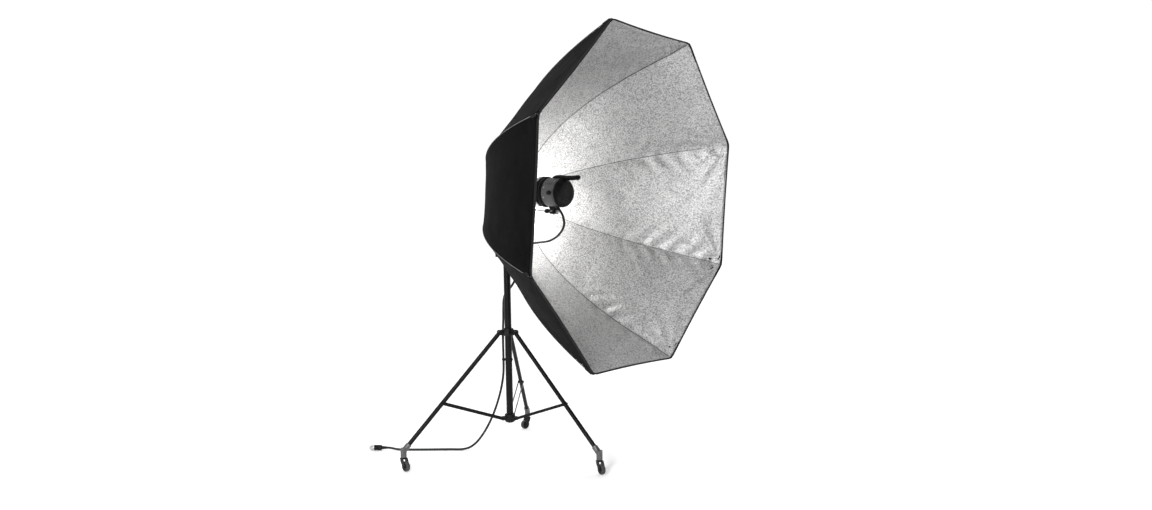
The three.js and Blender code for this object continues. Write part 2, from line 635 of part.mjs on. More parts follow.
function addLamps() {
  const base = FLANGE_X + 3 - GAP;
  const bulb = turned('x', [
    [0, base], [10, base], [10, base - 10], [6, base - 12], [9, base - 20],
    [9, base - 34], [5, base - 42], [0, base - 44],
  ]);
  piece(head, 'modelling_lamp', bulb, warmGlass);
  const flashRing = [];
  const count = 8;
  for (let i = 0; i <= count; i += 1) {
    const angle = THREE.MathUtils.degToRad(-75 + (330 * i) / count);
    flashRing.push([base - 26, 30 * Math.cos(angle), 30 * Math.sin(angle)]);
  }
  const first = flashRing[0];
  const last = flashRing[count];
  const path = [[base, first[1], first[2]], ...flashRing, [base, last[1], last[2]]];
  piece(head, 'flash_tube', bent(path, 3.5, 6, 16), warmGlass);
  const domeOut = [];
  const domeIn = [];
  for (let i = 0; i <= 4; i += 1) {
    const angle = (Math.PI / 2) * (i / 4);
    domeOut.push([46 * Math.cos(angle), base - 30 - 38 * Math.sin(angle)]);
    domeIn.unshift([43.5 * Math.cos(angle), base - 30 - 35.5 * Math.sin(angle)]);
  }
  const dome = turned('x', [[46, base], ...domeOut, ...domeIn, [43.5, base], [46, base]]);
  piece(head, 'glass_dome', dome, clearGlass);
}

// ---------------------------------------------------------------- flash head lead

// Routes are in the column's frame: x from the column axis, z from the floor.
const INNER_ROUTE = [
  [374, -24.6, 1262.5], [384, -26, 1252.5], [396, -30, 1240], [405, -34, 1225],
  [411, -37, 1208], [413, -39.5, 1192], [409, -41, 1176], [397, -41, 1160],
  [378, -39, 1144], [348, -35, 1127], [311, -30, 1114], [272, -25, 1108],
  [235, -20, 1105], [203, -16, 1101], [177, -12.5, 1094], [160, -10, 1088],
  [146.5, -9.1, 1082.1],
];
const OUTER_ROUTE = [
  [114.5, -9.7, 1067.2], [103, -9.9, 1061.8], [90, -5, 1050], [78, 9, 1028], [65, 16, 1008], [52, 24, 984], [40, 32, 955],
  [28, 40, 928], [13, 45, 905], [-3, 46, 884], [-19, 43, 864], [-32, 35, 847], [-41, 25, 827], [-44, 18, 800],
  [-44, 15, 768], [-43.5, 13, 731], [-43, 11, 695], [-42, 7, 660], [-38, 1, 625], [-31, -7, 592], [-25.5, -12.8, 560],
  [-24, -14, 530], [-24, -14, 500], [-24, -14, 470], [-26, -14, 435], [-33, -14, 392], [-47, -14, 340],
  [-66, -14, 288], [-90, -15, 232], [-118, -18, 176], [-148, -24, 124], [-176, -32, 82], [-205, -43, 46],
  [-236, -58, 20], [-268, -76, 8.5], [-310, -102, 5.4], [-366, -142, 5.4], [-430, -190, 5.4],
  [-497, -239, 5.4], [-545, -272, 6.5], [-572, -290, 11], [-590, -302, 15.2], [-600, -308.6, 15.8],
];
// How far along the outer route each length of lead ends, so that it can follow the joints.
const OUTER_PARTS = [['lead_port', 170], ['lead_swivel', 310], ['lead_riser', 450], ['lead_floor', Infinity]];
const LEAD_STEP = 28;

function leadCurve(route) {
  return new THREE.CatmullRomCurve3(route.map((p) => new THREE.Vector3(...p)), false, 'centripetal');
}

// The stretch of a curve between two lengths along it.
class Stretch extends THREE.Curve {
  constructor(curve, from, to) {
    super();
    this.curve = curve;
    this.from = from / curve.getLength();
    this.to = to / curve.getLength();
  }

  getPoint(t, target) {
    return this.curve.getPointAt(this.from + (this.to - this.from) * t, target);
  }
}

function leadTube(curve, from, to) {
  const steps = Math.max(4, Math.round((to - from) / LEAD_STEP));
  return sweep(new Stretch(curve, from, to), LEAD_R, 8, steps);
}

function addLeads() {
  const inner = leadCurve(INNER_ROUTE);
  piece(softbox, 'lead_inner', leadTube(inner, 0, inner.getLength()), rubber);
  const outer = leadCurve(OUTER_ROUTE);
  let from = 0;
  for (const [name, end] of OUTER_PARTS) {
    const to = Math.min(end, outer.getLength());
    piece(softbox, name, leadTube(outer, from, to), rubber);
    from = to + GAP;
  }
}

function addGland() {
  const gland = join(
    rod('x', 7, -10, 6),
    turned('x', [
      [0, 5], [GLAND_R, 5], [GLAND_R, 9], [8, 11], [6.4, GLAND_LENGTH - GAP], [0, GLAND_LENGTH - GAP],
    ]),
  );
  piece(head, 'lead_gland', toGland(gland), rubber);
}

const TIE_AT = [-24, -14, 500];

function addTieAndPlug() {
  const [x, y, z] = TIE_AT;
  const [low, high] = [z - 5, z + 5];
  const tie = cut(
    join(
      rod('z', 20.5, low, high),
      rod('z', 7.8, low, high).translate(x, y, 0),
      block([x - 2, -10], [y - 2, -4], [low, high]),
    ),
    rod('z', COLUMN_R + GAP, low - 9, high + 9),
    rod('z', LEAD_R + 0.6, low - 9, high + 9).translate(x, y, 0),
  );
  piece(softbox, 'lead_tie', tie, blackCloth);
  const plug = join(
    turned('x', [[0, GAP], [6.5, GAP], [9, 30], [14, 34], [14.5, 38], [14.5, 74], [0, 74]]),
    turned('x', [[0, 70], [15.5, 70], [15.5, 86], [12.5, 87], [12.5, 98], [0, 98]]),
  );
  const end = new THREE.Vector3(...OUTER_ROUTE.at(-1));
  const before = new THREE.Vector3(...OUTER_ROUTE.at(-2));
  const heading = Math.atan2(end.y - before.y, end.x - before.x);
  piece(softbox, 'lead_plug', plug, blackPlastic, end.toArray(), [0, 0, heading]);
}

// ---------------------------------------------------------------- assembly

addColumn();
addColumnClamp();
addCollar();
addFootHub();
aroundStand((yaw, i) => addLeg(yaw, i + 1));
aroundStand((yaw, i) => addBrace(yaw, i + 1));
aroundStand((yaw, i) => addCaster(yaw, i));
addBracket();
addTiltBlock();
addBar();
addCloth();
addRibs();
addHub();
addCablePort();
addHeadBody();
addHeadControls();
addHeadClamp();
addLamps();
addLeads();
addGland();
addTieAndPlug();

export default softbox;
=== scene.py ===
"""Looks for the studio softbox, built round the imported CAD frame. Metres, +Z up."""

import json
import math

import bpy
from mathutils import Matrix, Vector, noise

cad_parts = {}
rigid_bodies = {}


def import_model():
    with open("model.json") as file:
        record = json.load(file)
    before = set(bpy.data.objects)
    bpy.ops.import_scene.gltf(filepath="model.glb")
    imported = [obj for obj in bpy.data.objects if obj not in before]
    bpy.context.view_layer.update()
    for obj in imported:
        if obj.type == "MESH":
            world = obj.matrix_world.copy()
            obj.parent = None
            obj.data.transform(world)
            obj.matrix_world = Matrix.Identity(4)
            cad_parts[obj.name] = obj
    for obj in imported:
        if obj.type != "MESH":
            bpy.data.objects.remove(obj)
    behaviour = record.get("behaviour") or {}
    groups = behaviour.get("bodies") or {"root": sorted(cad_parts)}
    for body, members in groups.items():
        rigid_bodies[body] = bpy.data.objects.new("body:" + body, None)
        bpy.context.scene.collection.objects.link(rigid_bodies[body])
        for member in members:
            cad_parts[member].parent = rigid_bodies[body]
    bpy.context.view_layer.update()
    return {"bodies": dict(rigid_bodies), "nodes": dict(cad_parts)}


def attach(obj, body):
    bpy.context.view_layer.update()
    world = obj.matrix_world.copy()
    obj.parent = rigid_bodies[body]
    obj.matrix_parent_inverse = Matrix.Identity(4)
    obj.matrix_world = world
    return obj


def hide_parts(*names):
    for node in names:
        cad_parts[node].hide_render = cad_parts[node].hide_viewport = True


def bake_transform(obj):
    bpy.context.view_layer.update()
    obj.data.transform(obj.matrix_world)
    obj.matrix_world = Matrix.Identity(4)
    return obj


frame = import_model()

# ---------------------------------------------------------------- sizes shared with the CAD

COLUMN_X = -0.28662
PIVOT_Z = 1.2424
TILT = math.radians(3.27)
AXIS_Z = 0.104
HEAD_Z = 0.123
BOX_ROLL = math.radians(-2.04)
SIDES = 8
RIM_R = 0.75 / math.cos(math.pi / SIDES)
RIM_X = 0.8378
DEPTH = 0.77
POWER = 2.4
HOLE_R = 0.11
HEM_X = 0.8388
HEM_DEEP = 0.0064
LINING_DEEP = 0.0135
RIM_LINING_DEEP = 0.0036
BAR_Z = 0.034
LEAD_R = 0.0059

COLUMN = Matrix.Translation((COLUMN_X, 0, 0))
TILTED = COLUMN @ Matrix.Translation((0, 0, PIVOT_Z)) @ Matrix.Rotation(TILT, 4, "Y")
BOWL = TILTED @ Matrix.Translation((0, 0, AXIS_Z)) @ Matrix.Rotation(BOX_ROLL, 4, "X")
HEAD = TILTED @ Matrix.Translation((0, 0, HEAD_Z))


def place(x, y, z):
    """A point given from the foot of the column, in the row frame."""
    return Vector((x + COLUMN_X, y, z))


# ---------------------------------------------------------------- camera

CAMERA_AT = place(3.0512, -3.2786, 1.2943)
CAMERA_AIM = (-0.62135, 0.78353)
CAMERA_DOWN = math.radians(3.387)
CAMERA_ROLL = math.radians(-0.975)
SENSOR_WIDTH = 36.0
FOCAL_LENGTH = 27.466


def make_camera():
    forward = Vector((CAMERA_AIM[0] * math.cos(CAMERA_DOWN), CAMERA_AIM[1] * math.cos(CAMERA_DOWN),
                      -math.sin(CAMERA_DOWN)))
    level = forward.cross(Vector((0, 0, 1))).normalized()
    upright = level.cross(forward)
    right = level * math.cos(CAMERA_ROLL) + upright * math.sin(CAMERA_ROLL)
    up = right.cross(forward)
    data = bpy.data.cameras.new("camera")
    data.sensor_fit = "HORIZONTAL"
    data.sensor_width = SENSOR_WIDTH
    data.lens = FOCAL_LENGTH
    data.clip_end = 60
    camera = bpy.data.objects.new("camera", data)
    turn = Matrix((right, up, -forward)).transposed().to_4x4()
    camera.matrix_world = Matrix.Translation(CAMERA_AT) @ turn
    bpy.context.scene.collection.objects.link(camera)
    bpy.context.scene.camera = camera


make_camera()

# ---------------------------------------------------------------- node materials


class Nodes:
    """A short way to write a shader."""

    def __init__(self, name):
        self.material = bpy.data.materials.new(name)
        self.material.use_nodes = True
        self.tree = self.material.node_tree
        self.shader = self.tree.nodes["Principled BSDF"]
        self.coordinates = self.tree.nodes.new("ShaderNodeTexCoord")
        self.bump_end = None

    def set(self, **values):
        for name, value in values.items():
            self.shader.inputs[name.replace("_", " ")].default_value = value
        return self

    def link(self, out, into):
        self.tree.links.new(out, into)

    def mapping(self, scale=(1, 1, 1), source="Object", turn=(0, 0, 0)):
        node = self.tree.nodes.new("ShaderNodeMapping")
        node.inputs["Scale"].default_value = scale
        node.inputs["Rotation"].default_value = turn
        self.link(self.coordinates.outputs[source], node.inputs["Vector"])
        return node.outputs["Vector"]

    def noise(self, scale, detail=3.0, rough=0.55, vector=None):
        node = self.tree.nodes.new("ShaderNodeTexNoise")
        node.inputs["Scale"].default_value = scale
        node.inputs["Detail"].default_value = detail
        node.inputs["Roughness"].default_value = rough
        self.link(vector or self.coordinates.outputs["Object"], node.inputs["Vector"])
        return node.outputs["Fac"]

    def cells(self, scale, feature="F1", vector=None):
        node = self.tree.nodes.new("ShaderNodeTexVoronoi")
        node.feature = feature
        node.inputs["Scale"].default_value = scale
        self.link(vector or self.coordinates.outputs["Object"], node.inputs["Vector"])
        return node.outputs["Distance"]

    def wave(self, scale, direction, vector, distort=0.0):
        node = self.tree.nodes.new("ShaderNodeTexWave")
        node.bands_direction = direction
        node.inputs["Scale"].default_value = scale
        node.inputs["Distortion"].default_value = distort
        self.link(vector, node.inputs["Vector"])
        return node.outputs["Fac"]

    def math(self, kind, a, b):
        node = self.tree.nodes.new("ShaderNodeMath")
        node.operation = kind
        for socket, value in zip(node.inputs, (a, b)):
            if isinstance(value, (int, float)):
                socket.default_value = value
            else:
                self.link(value, socket)
        return node.outputs["Value"]

    def ramp(self, value, stops):
        node = self.tree.nodes.new("ShaderNodeValToRGB")
        ramp = node.color_ramp
        while len(ramp.elements) < len(stops):
            ramp.elements.new(0.5)
        for element, (at, color) in zip(ramp.elements, stops):
            element.position = at
            element.color = (*color, 1) if len(color) == 3 else color
        self.link(value, node.inputs["Fac"])
        return node.outputs["Color"]

    def spread(self, value, low, high, into):
        node = self.tree.nodes.new("ShaderNodeMapRange")
        node.inputs["To Min"].default_value = low
        node.inputs["To Max"].default_value = high
        self.link(value, node.inputs["Value"])
        self.link(node.outputs["Result"], self.shader.inputs[into])

    def color(self, value, stops):
        self.link(self.ramp(value, stops), self.shader.inputs["Base Color"])
        return self

    def bump(self, height, strength, distance):
        node = self.tree.nodes.new("ShaderNodeBump")
        node.inputs["Strength"].default_value = strength
        node.inputs["Distance"].default_value = distance
        self.link(height, node.inputs["Height"])
        if self.bump_end is not None:
            self.link(self.bump_end, node.inputs["Normal"])
        self.bump_end = node.outputs["Normal"]
        self.link(self.bump_end, self.shader.inputs["Normal"])
        return self


def grey(value, warm=0.0):
    return (value * (1 + warm), value, value * (1 - warm))


def make_paint():
    n = Nodes("satin_black_powder_coat")
    n.color(n.noise(38, 5), [(0.3, (0.0022, 0.0023, 0.0026)), (0.7, (0.0052, 0.0053, 0.0058))])
    n.spread(n.noise(60, 4), 0.3, 0.46, "Roughness")
    n.bump(n.noise(1500, 2), 0.12, 0.0004)
    n.set(Specular_IOR_Level=0.14)
    return n.material


def make_steel():
    n = Nodes("satin_steel")
    along = n.mapping((6, 900, 900))
    n.color(n.noise(1, 4, vector=along), [(0.25, grey(0.46)), (0.75, grey(0.66, 0.01))])
    n.spread(n.noise(1, 4, vector=n.mapping((9, 700, 700))), 0.2, 0.4, "Roughness")
    n.bump(n.noise(1, 3, vector=along), 0.12, 0.0002)
    n.set(Metallic=1.0)
    return n.material


def make_cast():
    n = Nodes("cast_aluminium")
    n.color(n.noise(90, 5), [(0.3, grey(0.075)), (0.7, grey(0.15, 0.01))])
    n.spread(n.noise(150, 4), 0.36, 0.55, "Roughness")
    n.bump(n.noise(900, 3), 0.25, 0.0005)
    n.set(Metallic=0.6)
    return n.material


def make_plastic():
    n = Nodes("black_moulded_plastic")
    n.color(n.noise(45, 4), [(0.3, (0.0035, 0.0035, 0.0038)), (0.7, (0.0078, 0.0078, 0.0082))])
    n.spread(n.noise(110, 3), 0.4, 0.56, "Roughness")
    n.set(Specular_IOR_Level=0.2)
    n.bump(n.cells(1300), 0.22, 0.0004)
    return n.material


def make_speckled():
    n = Nodes("speckled_grey_housing")
    specks = n.cells(420)
    n.color(specks, [(0.0, grey(0.3)), (0.16, grey(0.22)), (0.3, grey(0.115)), (1.0, grey(0.085, 0.01))])
    n.spread(n.noise(200, 3), 0.42, 0.58, "Roughness")
    n.bump(n.cells(1100), 0.3, 0.0005)
    return n.material


def make_tyre():
    n = Nodes("grey_tread")
    n.color(n.noise(160, 4), [(0.3, grey(0.03)), (0.7, grey(0.06, 0.01))])
    n.spread(n.noise(220, 3), 0.62, 0.82, "Roughness")
    n.bump(n.noise(1200, 3), 0.3, 0.0004)
    return n.material


def weave(n, threads, strength, distance):
    across = n.wave(threads, "X", n.mapping(source="UV"))
    along = n.wave(threads, "Y", n.mapping(source="UV"))
    n.bump(n.math("MULTIPLY", across, along), strength, distance)


def make_cover_cloth():
    n = Nodes("black_woven_nylon")
    n.color(n.noise(9, 5), [(0.3, (0.0012, 0.0012, 0.0014)), (0.7, (0.003, 0.003, 0.0034))])
    n.spread(n.noise(24, 4), 0.66, 0.84, "Roughness")
    n.set(Specular_IOR_Level=0.03)
    weave(n, 260, 0.35, 0.0004)
    n.bump(n.noise(30, 4), 0.15, 0.002)
    return n.material


def make_lining_cloth():
    n = Nodes("pebbled_silver_cloth")
    pebble = n.cells(165, "SMOOTH_F1", n.mapping(source="UV"))
    grain = n.noise(300, 3, 0.7, n.mapping(source="UV"))
    patches = n.noise(7, 3, 0.6, n.mapping(source="UV"))
    mix = n.math("ADD", n.math("MULTIPLY", pebble, 0.35), n.math("MULTIPLY", grain, 0.75))
    n.color(n.math("ADD", mix, n.math("MULTIPLY", patches, 0.07)),
            [(0.36, grey(0.62)), (0.52, grey(0.4)), (0.68, grey(0.17))])
    n.spread(grain, 0.3, 0.55, "Roughness")
    n.set(Metallic=0.45)
    n.bump(pebble, 0.45, 0.003)
    n.bump(n.noise(420, 3, 0.7, n.mapping(source="UV")), 0.5, 0.0016)
    return n.material


def make_tape(name, value):
    n = Nodes(name)
    n.color(n.noise(60, 4), [(0.3, grey(value * 0.75)), (0.7, grey(value * 1.2))])
    n.spread(n.noise(200, 3), 0.6, 0.8, "Roughness")
    n.set(Specular_IOR_Level=0.12)
    n.bump(n.noise(1400, 2), 0.35, 0.0004)
    return n.material


def make_rubber():
    n = Nodes("lead_rubber")
    n.color(n.noise(70, 4), [(0.3, (0.005, 0.005, 0.0055)), (0.7, (0.011, 0.011, 0.012))])
    n.spread(n.noise(90, 4), 0.36, 0.55, "Roughness")
    n.set(Specular_IOR_Level=0.3)
    n.bump(n.noise(900, 2), 0.15, 0.0003)
    return n.material


def make_glass(name, color, rough, emission=0.0):
    n = Nodes(name)
    n.color(n.noise(20, 2), [(0.3, color), (0.7, tuple(min(1, c * 1.02) for c in color))])
    n.spread(n.noise(40, 2), rough, rough + 0.05, "Roughness")
    n.set(Transmission_Weight=0.9, IOR=1.46)
    if emission:
        n.set(Emission_Color=(1, 0.95, 0.86, 1), Emission_Strength=emission)
    return n.material


def make_fibre():
    n = Nodes("glass_fibre_rod")
    n.color(n.noise(1, 3, vector=n.mapping((30, 400, 400))), [(0.3, grey(0.3, 0.02)), (0.7, grey(0.42, 0.02))])
    n.spread(n.noise(200, 2), 0.4, 0.55, "Roughness")
    n.bump(n.noise(600, 2), 0.15, 0.0003)
    return n.material


def make_floor():
    n = Nodes("studio_paper")
    n.color(n.noise(3, 3), [(0.3, grey(0.93)), (0.7, grey(0.95))])
    n.spread(n.noise(8, 2), 0.8, 0.95, "Roughness")
    n.bump(n.noise(400, 2), 0.05, 0.0005)
    n.set(Emission_Color=(1, 1, 1, 1), Emission_Strength=0.22)
    return n.material


PAINT = make_paint()
STEEL = make_steel()
CAST = make_cast()
PLASTIC = make_plastic()
SPECKLED = make_speckled()
TYRE = make_tyre()
COVER_CLOTH = make_cover_cloth()
LINING_CLOTH = make_lining_cloth()
BLACK_TAPE = make_tape("black_binding_tape", 0.007)
GREY_PIPING = make_tape("grey_piping", 0.1)
SEAM_TAPE = make_tape("dark_seam_tape", 0.07)
RUBBER = make_rubber()
DOME_GLASS = make_glass("clear_glass", (0.95, 0.97, 0.97), 0.02)
LAMP_GLASS = make_glass("lamp_glass", (0.98, 0.93, 0.84), 0.25, 12.0)
FIBRE = make_fibre()

# ---------------------------------------------------------------- mesh building


def mesh_object(name, verts, faces, materials):
    mesh = bpy.data.meshes.new(name)
    mesh.from_pydata([tuple(v) for v in verts], [], faces)
    mesh.update()
    for material in materials:
        mesh.materials.append(material)
    mesh.polygons.foreach_set("use_smooth", [True] * len(faces))
    made = bpy.data.objects.new(name, mesh)
    bpy.context.scene.collection.objects.link(made)
    return made


class Build:
    """Gathers the faces of one piece, in the row frame."""

    def __init__(self):
        self.verts, self.faces, self.slots = [], [], []

    def add(self, verts, faces, matrix=None, slot=0):
        start = len(self.verts)
        for v in verts:
            v = Vector(v)
            self.verts.append(matrix @ v if matrix is not None else v)
        for face in faces:
            self.faces.append([start + i for i in face])
            self.slots.append(slot)

    def lathe(self, profile, matrix, segments=72, slot=0):
        """Turns [radius, x] points about the matrix's X axis. A point with radius 0 closes to the axis."""
        verts, rows = [], []
        for radius, x in profile:
            if radius < 1e-7:
                rows.append([len(verts)])
                verts.append((x, 0, 0))
            else:
                rows.append([len(verts) + i for i in range(segments)])
                for i in range(segments):
                    angle = 2 * math.pi * i / segments
                    verts.append((x, radius * math.cos(angle), radius * math.sin(angle)))
        faces = []
        for a, b in zip(rows, rows[1:]):
            for i in range(segments):
                j = (i + 1) % segments
                if len(a) == 1:
                    faces.append((a[0], b[i], b[j]))
                elif len(b) == 1:
                    faces.append((a[i], b[0], a[j]))
                else:
                    faces.append((a[i], b[i], b[j], a[j]))
        self.add(verts, faces, matrix, slot)

    def tube(self, points, radii, sides=16, slot=0, closed=False):
        """A round bar through the points. radii is one number or one for each point."""
        points = [Vector(p) for p in points]
        count = len(points)
        radii = [radii] * count if isinstance(radii, (int, float)) else list(radii)
        normal, verts, faces = None, [], []
        for i, p in enumerate(points):
            before = points[i - 1] if (i or closed) else p
            after = points[(i + 1) % count] if (i + 1 < count or closed) else p
            along = (after - before).normalized()
            if normal is None:
                normal = along.orthogonal().normalized()
            normal = (normal - along * normal.dot(along)).normalized()
            side = along.cross(normal)
            for k in range(sides):
                angle = 2 * math.pi * k / sides
                verts.append(p + (normal * math.cos(angle) + side * math.sin(angle)) * radii[i])
        rows = count if closed else count - 1
        for i in range(rows):
            j = (i + 1) % count
            for k in range(sides):
                m = (k + 1) % sides
                faces.append((i * sides + k, i * sides + m, j * sides + m, j * sides + k))
        if not closed:
            faces.append(tuple(reversed(range(sides))))
            faces.append(tuple((count - 1) * sides + k for k in range(sides)))
        self.add(verts, faces, None, slot)

    def block(self, low, high, matrix=None, slot=0):
        xs, ys, zs = zip(low, high)
        verts = [(x, y, z) for x in xs for y in ys for z in zs]
        faces = [(0, 1, 3, 2), (4, 6, 7, 5), (0, 4, 5, 1), (2, 3, 7, 6), (0, 2, 6, 4), (1, 5, 7, 3)]
        self.add(verts, faces, matrix, slot)

    def piece(self, name, body, slot, materials, replaces=(), bevel=0.0):
        made = mesh_object(name, self.verts, self.faces, materials)
        made.data.polygons.foreach_set("material_index", self.slots)
        if bevel:
            round_edges(made, bevel)
        else:
            made.data.set_sharp_from_angle(angle=math.radians(40))
        if body is not None:
            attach(made, body)
        if replaces:
            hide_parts(*replaces)
        return made


def round_edges(made, width, segments=2):
    modifier = made.modifiers.new("bevel", "BEVEL")
    modifier.width = width
    modifier.segments = segments
    modifier.limit_method = "ANGLE"
    modifier.angle_limit = math.radians(38)
    modifier.harden_normals = True
    modifier.use_clamp_overlap = True


def dress(node, material, bevel=0.0006):
    """Gives a CAD node its finish and softens its edges."""
    made = frame["nodes"][node]
    mesh = made.data
    if "custom_normal" in mesh.attributes:
        mesh.attributes.remove(mesh.attributes["custom_normal"])
    mesh.polygons.foreach_set("use_smooth", [True] * len(mesh.polygons))
    if not made.material_slots:
        mesh.materials.append(material)
    for held in made.material_slots:
        held.material = material
    weld = made.modifiers.new("weld", "WELD")
    weld.merge_threshold = 0.00001
    round_edges(made, bevel)
    return made


# ---------------------------------------------------------------- flash head lead

INNER_ROUTE = [
    (0.374, -0.0246, 1.2625), (0.384, -0.026, 1.2525), (0.396, -0.03, 1.24), (0.405, -0.034, 1.225),
    (0.411, -0.037, 1.208), (0.413, -0.0395, 1.192), (0.409, -0.041, 1.176), (0.397, -0.041, 1.16),
    (0.378, -0.039, 1.144), (0.348, -0.035, 1.127), (0.311, -0.03, 1.114), (0.272, -0.025, 1.108),
    (0.235, -0.02, 1.105), (0.203, -0.016, 1.101), (0.177, -0.0125, 1.094), (0.16, -0.01, 1.088),
    (0.1465, -0.0091, 1.0821),
]
OUTER_ROUTE = [
    (0.1145, -0.0097, 1.0672), (0.103, -0.0099, 1.0618), (0.09, -0.005, 1.05), (0.078, 0.009, 1.028),
    (0.065, 0.016, 1.008), (0.052, 0.024, 0.984), (0.04, 0.032, 0.955), (0.028, 0.04, 0.928),
    (0.013, 0.045, 0.905), (-0.003, 0.046, 0.884), (-0.019, 0.043, 0.864), (-0.032, 0.035, 0.847),
    (-0.041, 0.025, 0.827), (-0.044, 0.018, 0.8), (-0.044, 0.015, 0.768), (-0.0435, 0.013, 0.731),
    (-0.043, 0.011, 0.695), (-0.042, 0.007, 0.66), (-0.038, 0.001, 0.625), (-0.031, -0.007, 0.592),
    (-0.0255, -0.0128, 0.56), (-0.024, -0.014, 0.53), (-0.024, -0.014, 0.5),
    (-0.024, -0.014, 0.47), (-0.026, -0.014, 0.435), (-0.033, -0.014, 0.392),
    (-0.047, -0.014, 0.34), (-0.066, -0.014, 0.288), (-0.09, -0.015, 0.232),
    (-0.118, -0.018, 0.176), (-0.148, -0.024, 0.124), (-0.176, -0.032, 0.082),
    (-0.205, -0.043, 0.046), (-0.236, -0.058, 0.02), (-0.268, -0.076, 0.0085),
    (-0.31, -0.102, 0.0054), (-0.366, -0.142, 0.0054), (-0.43, -0.19, 0.0054),
    (-0.497, -0.239, 0.0054), (-0.545, -0.272, 0.0065), (-0.572, -0.29, 0.011),
    (-0.59, -0.302, 0.0152), (-0.6, -0.3086, 0.0158),
]
LEAD_PARTS = (("lead_port", 0.17), ("lead_swivel", 0.31), ("lead_riser", 0.45), ("lead_floor", 9.0))


def smooth_route(points, step=0.004):
    """Points along one smooth curve through the route's points (centripetal)."""
    points = [place(*p) for p in points]
    ends = [points[0] * 2 - points[1], *points, points[-1] * 2 - points[-2]]
    made = [points[0]]
    for p0, p1, p2, p3 in zip(ends, ends[1:], ends[2:], ends[3:]):
        d1, d2, d3 = (math.sqrt(max((b - a).length, 1e-9)) for a, b in ((p0, p1), (p1, p2), (p2, p3)))
        m1 = (p1 - p0) / d1 - (p2 - p0) / (d1 + d2) + (p2 - p1) / d2
        m2 = (p2 - p1) / d2 - (p3 - p1) / (d2 + d3) + (p3 - p2) / d3
        m1, m2 = m1 * d2, m2 * d2
        count = max(2, round((p2 - p1).length / step))
        for i in range(1, count + 1):
            t = i / count
            made.append(p1 * (2 * t**3 - 3 * t**2 + 1) + m1 * (t**3 - 2 * t**2 + t)
                        + p2 * (3 * t**2 - 2 * t**3) + m2 * (t**3 - t**2))
    return made


def stretch(points, start, end):
    """The points from one length along the route to another."""
    made, run = [], 0.0
    for a, b in zip(points, points[1:]):
        length = (b - a).length
        if run <= start < run + length:
            made.append(a.lerp(b, (start - run) / length))
        if start < run + length < end:
            made.append(b.copy())
        if run < end <= run + length:
            made.append(a.lerp(b, (end - run) / length))
        run += length
    return made


def route_length(points):
    return sum((b - a).length for a, b in zip(points, points[1:]))


def lead_tube(name, points, body):
    build = Build()
    points = [Vector((p[0], p[1], max(p[2], LEAD_R + 0.0001))) for p in points]
    build.tube(points, LEAD_R, 16)
    return build.piece(name, body, "lead_rubber", [RUBBER], [name.replace("_cable", "")])


def make_plug():
    """The connector on the lead's far end, lying on the floor."""
    end, before = place(*OUTER_ROUTE[-1]), place(*OUTER_ROUTE[-2])
    heading = math.atan2(end.y - before.y, end.x - before.x)
    here = Matrix.Translation(end) @ Matrix.Rotation(heading, 4, "Z")
    build = Build()
    boot = [(0, 0.0003), (0.0062, 0.0003)]
    for i in range(6):
        x, radius = 0.004 + i * 0.0045, 0.0066 + i * 0.0005
        groove = radius - 0.0009
        boot += [(radius, x), (radius, x + 0.0022), (groove, x + 0.0026), (groove, x + 0.0043)]
    boot += [(0.0105, 0.0325), (0.0136, 0.0345), (0.0143, 0.0375), (0.0143, 0.044)]
    for i in range(7):
        x = 0.045 + i * 0.0032
        boot += [(0.0143, x), (0.0134, x + 0.0006), (0.0134, x + 0.0014), (0.0143, x + 0.002)]
    boot += [(0.0145, 0.069), (0.0145, 0.0712), (0, 0.0712)]
    build.lathe(boot, here, 48, 0)
    collar = [(0, 0.0712), (0.015, 0.0712), (0.0155, 0.072)]
    for i in range(4):
        x = 0.0735 + i * 0.0028
        collar += [(0.0155, x), (0.0148, x + 0.0006), (0.0148, x + 0.0012), (0.0155, x + 0.0018)]
    collar += [(0.0155, 0.085), (0.0148, 0.086), (0.0125, 0.0862), (0.0125, 0.0978), (0.011, 0.098),
               (0.011, 0.09), (0, 0.09)]
    build.lathe(collar, here, 48, 1)
    for i in range(6):
        angle = 2 * math.pi * i / 6
        pin = here @ Matrix.Translation((0, 0.0062 * math.cos(angle), 0.0062 * math.sin(angle)))
        build.lathe([(0, 0.0896), (0.0014, 0.0896), (0.0014, 0.0962), (0, 0.0968)], pin, 12, 2)
    return build.piece("lead_connector", "column", "black_plastic", [PLASTIC, STEEL, STEEL], ["lead_plug"])


def make_gland():
    """The tapered strain relief under the head, with its rings."""
    lean, splay = math.radians(47), math.radians(-10)
    here = (HEAD @ Matrix.Translation((0.35, -0.021, -0.0612)) @ Matrix.Rotation(splay, 4, "X")
            @ Matrix.Rotation(math.pi / 2 - lean, 4, "Y"))
    build = Build()
    profile = [(0, -0.0095), (0.0068, -0.0095), (0.0068, 0.004), (0.0086, 0.005), (0.0086, 0.0088)]
    for i in range(6):
        x, radius = 0.0098 + i * 0.0031, 0.0083 - i * 0.0003
        groove = radius - 0.001
        profile += [(radius, x), (radius, x + 0.0016), (groove, x + 0.0019), (groove, x + 0.0029)]
    profile += [(0.0061, 0.029), (0.0058, 0.0297), (0, 0.0297)]
    build.lathe(profile, here, 40)
    return build.piece("lead_strain_relief", "head", "lead_rubber", [RUBBER], ["lead_gland"])


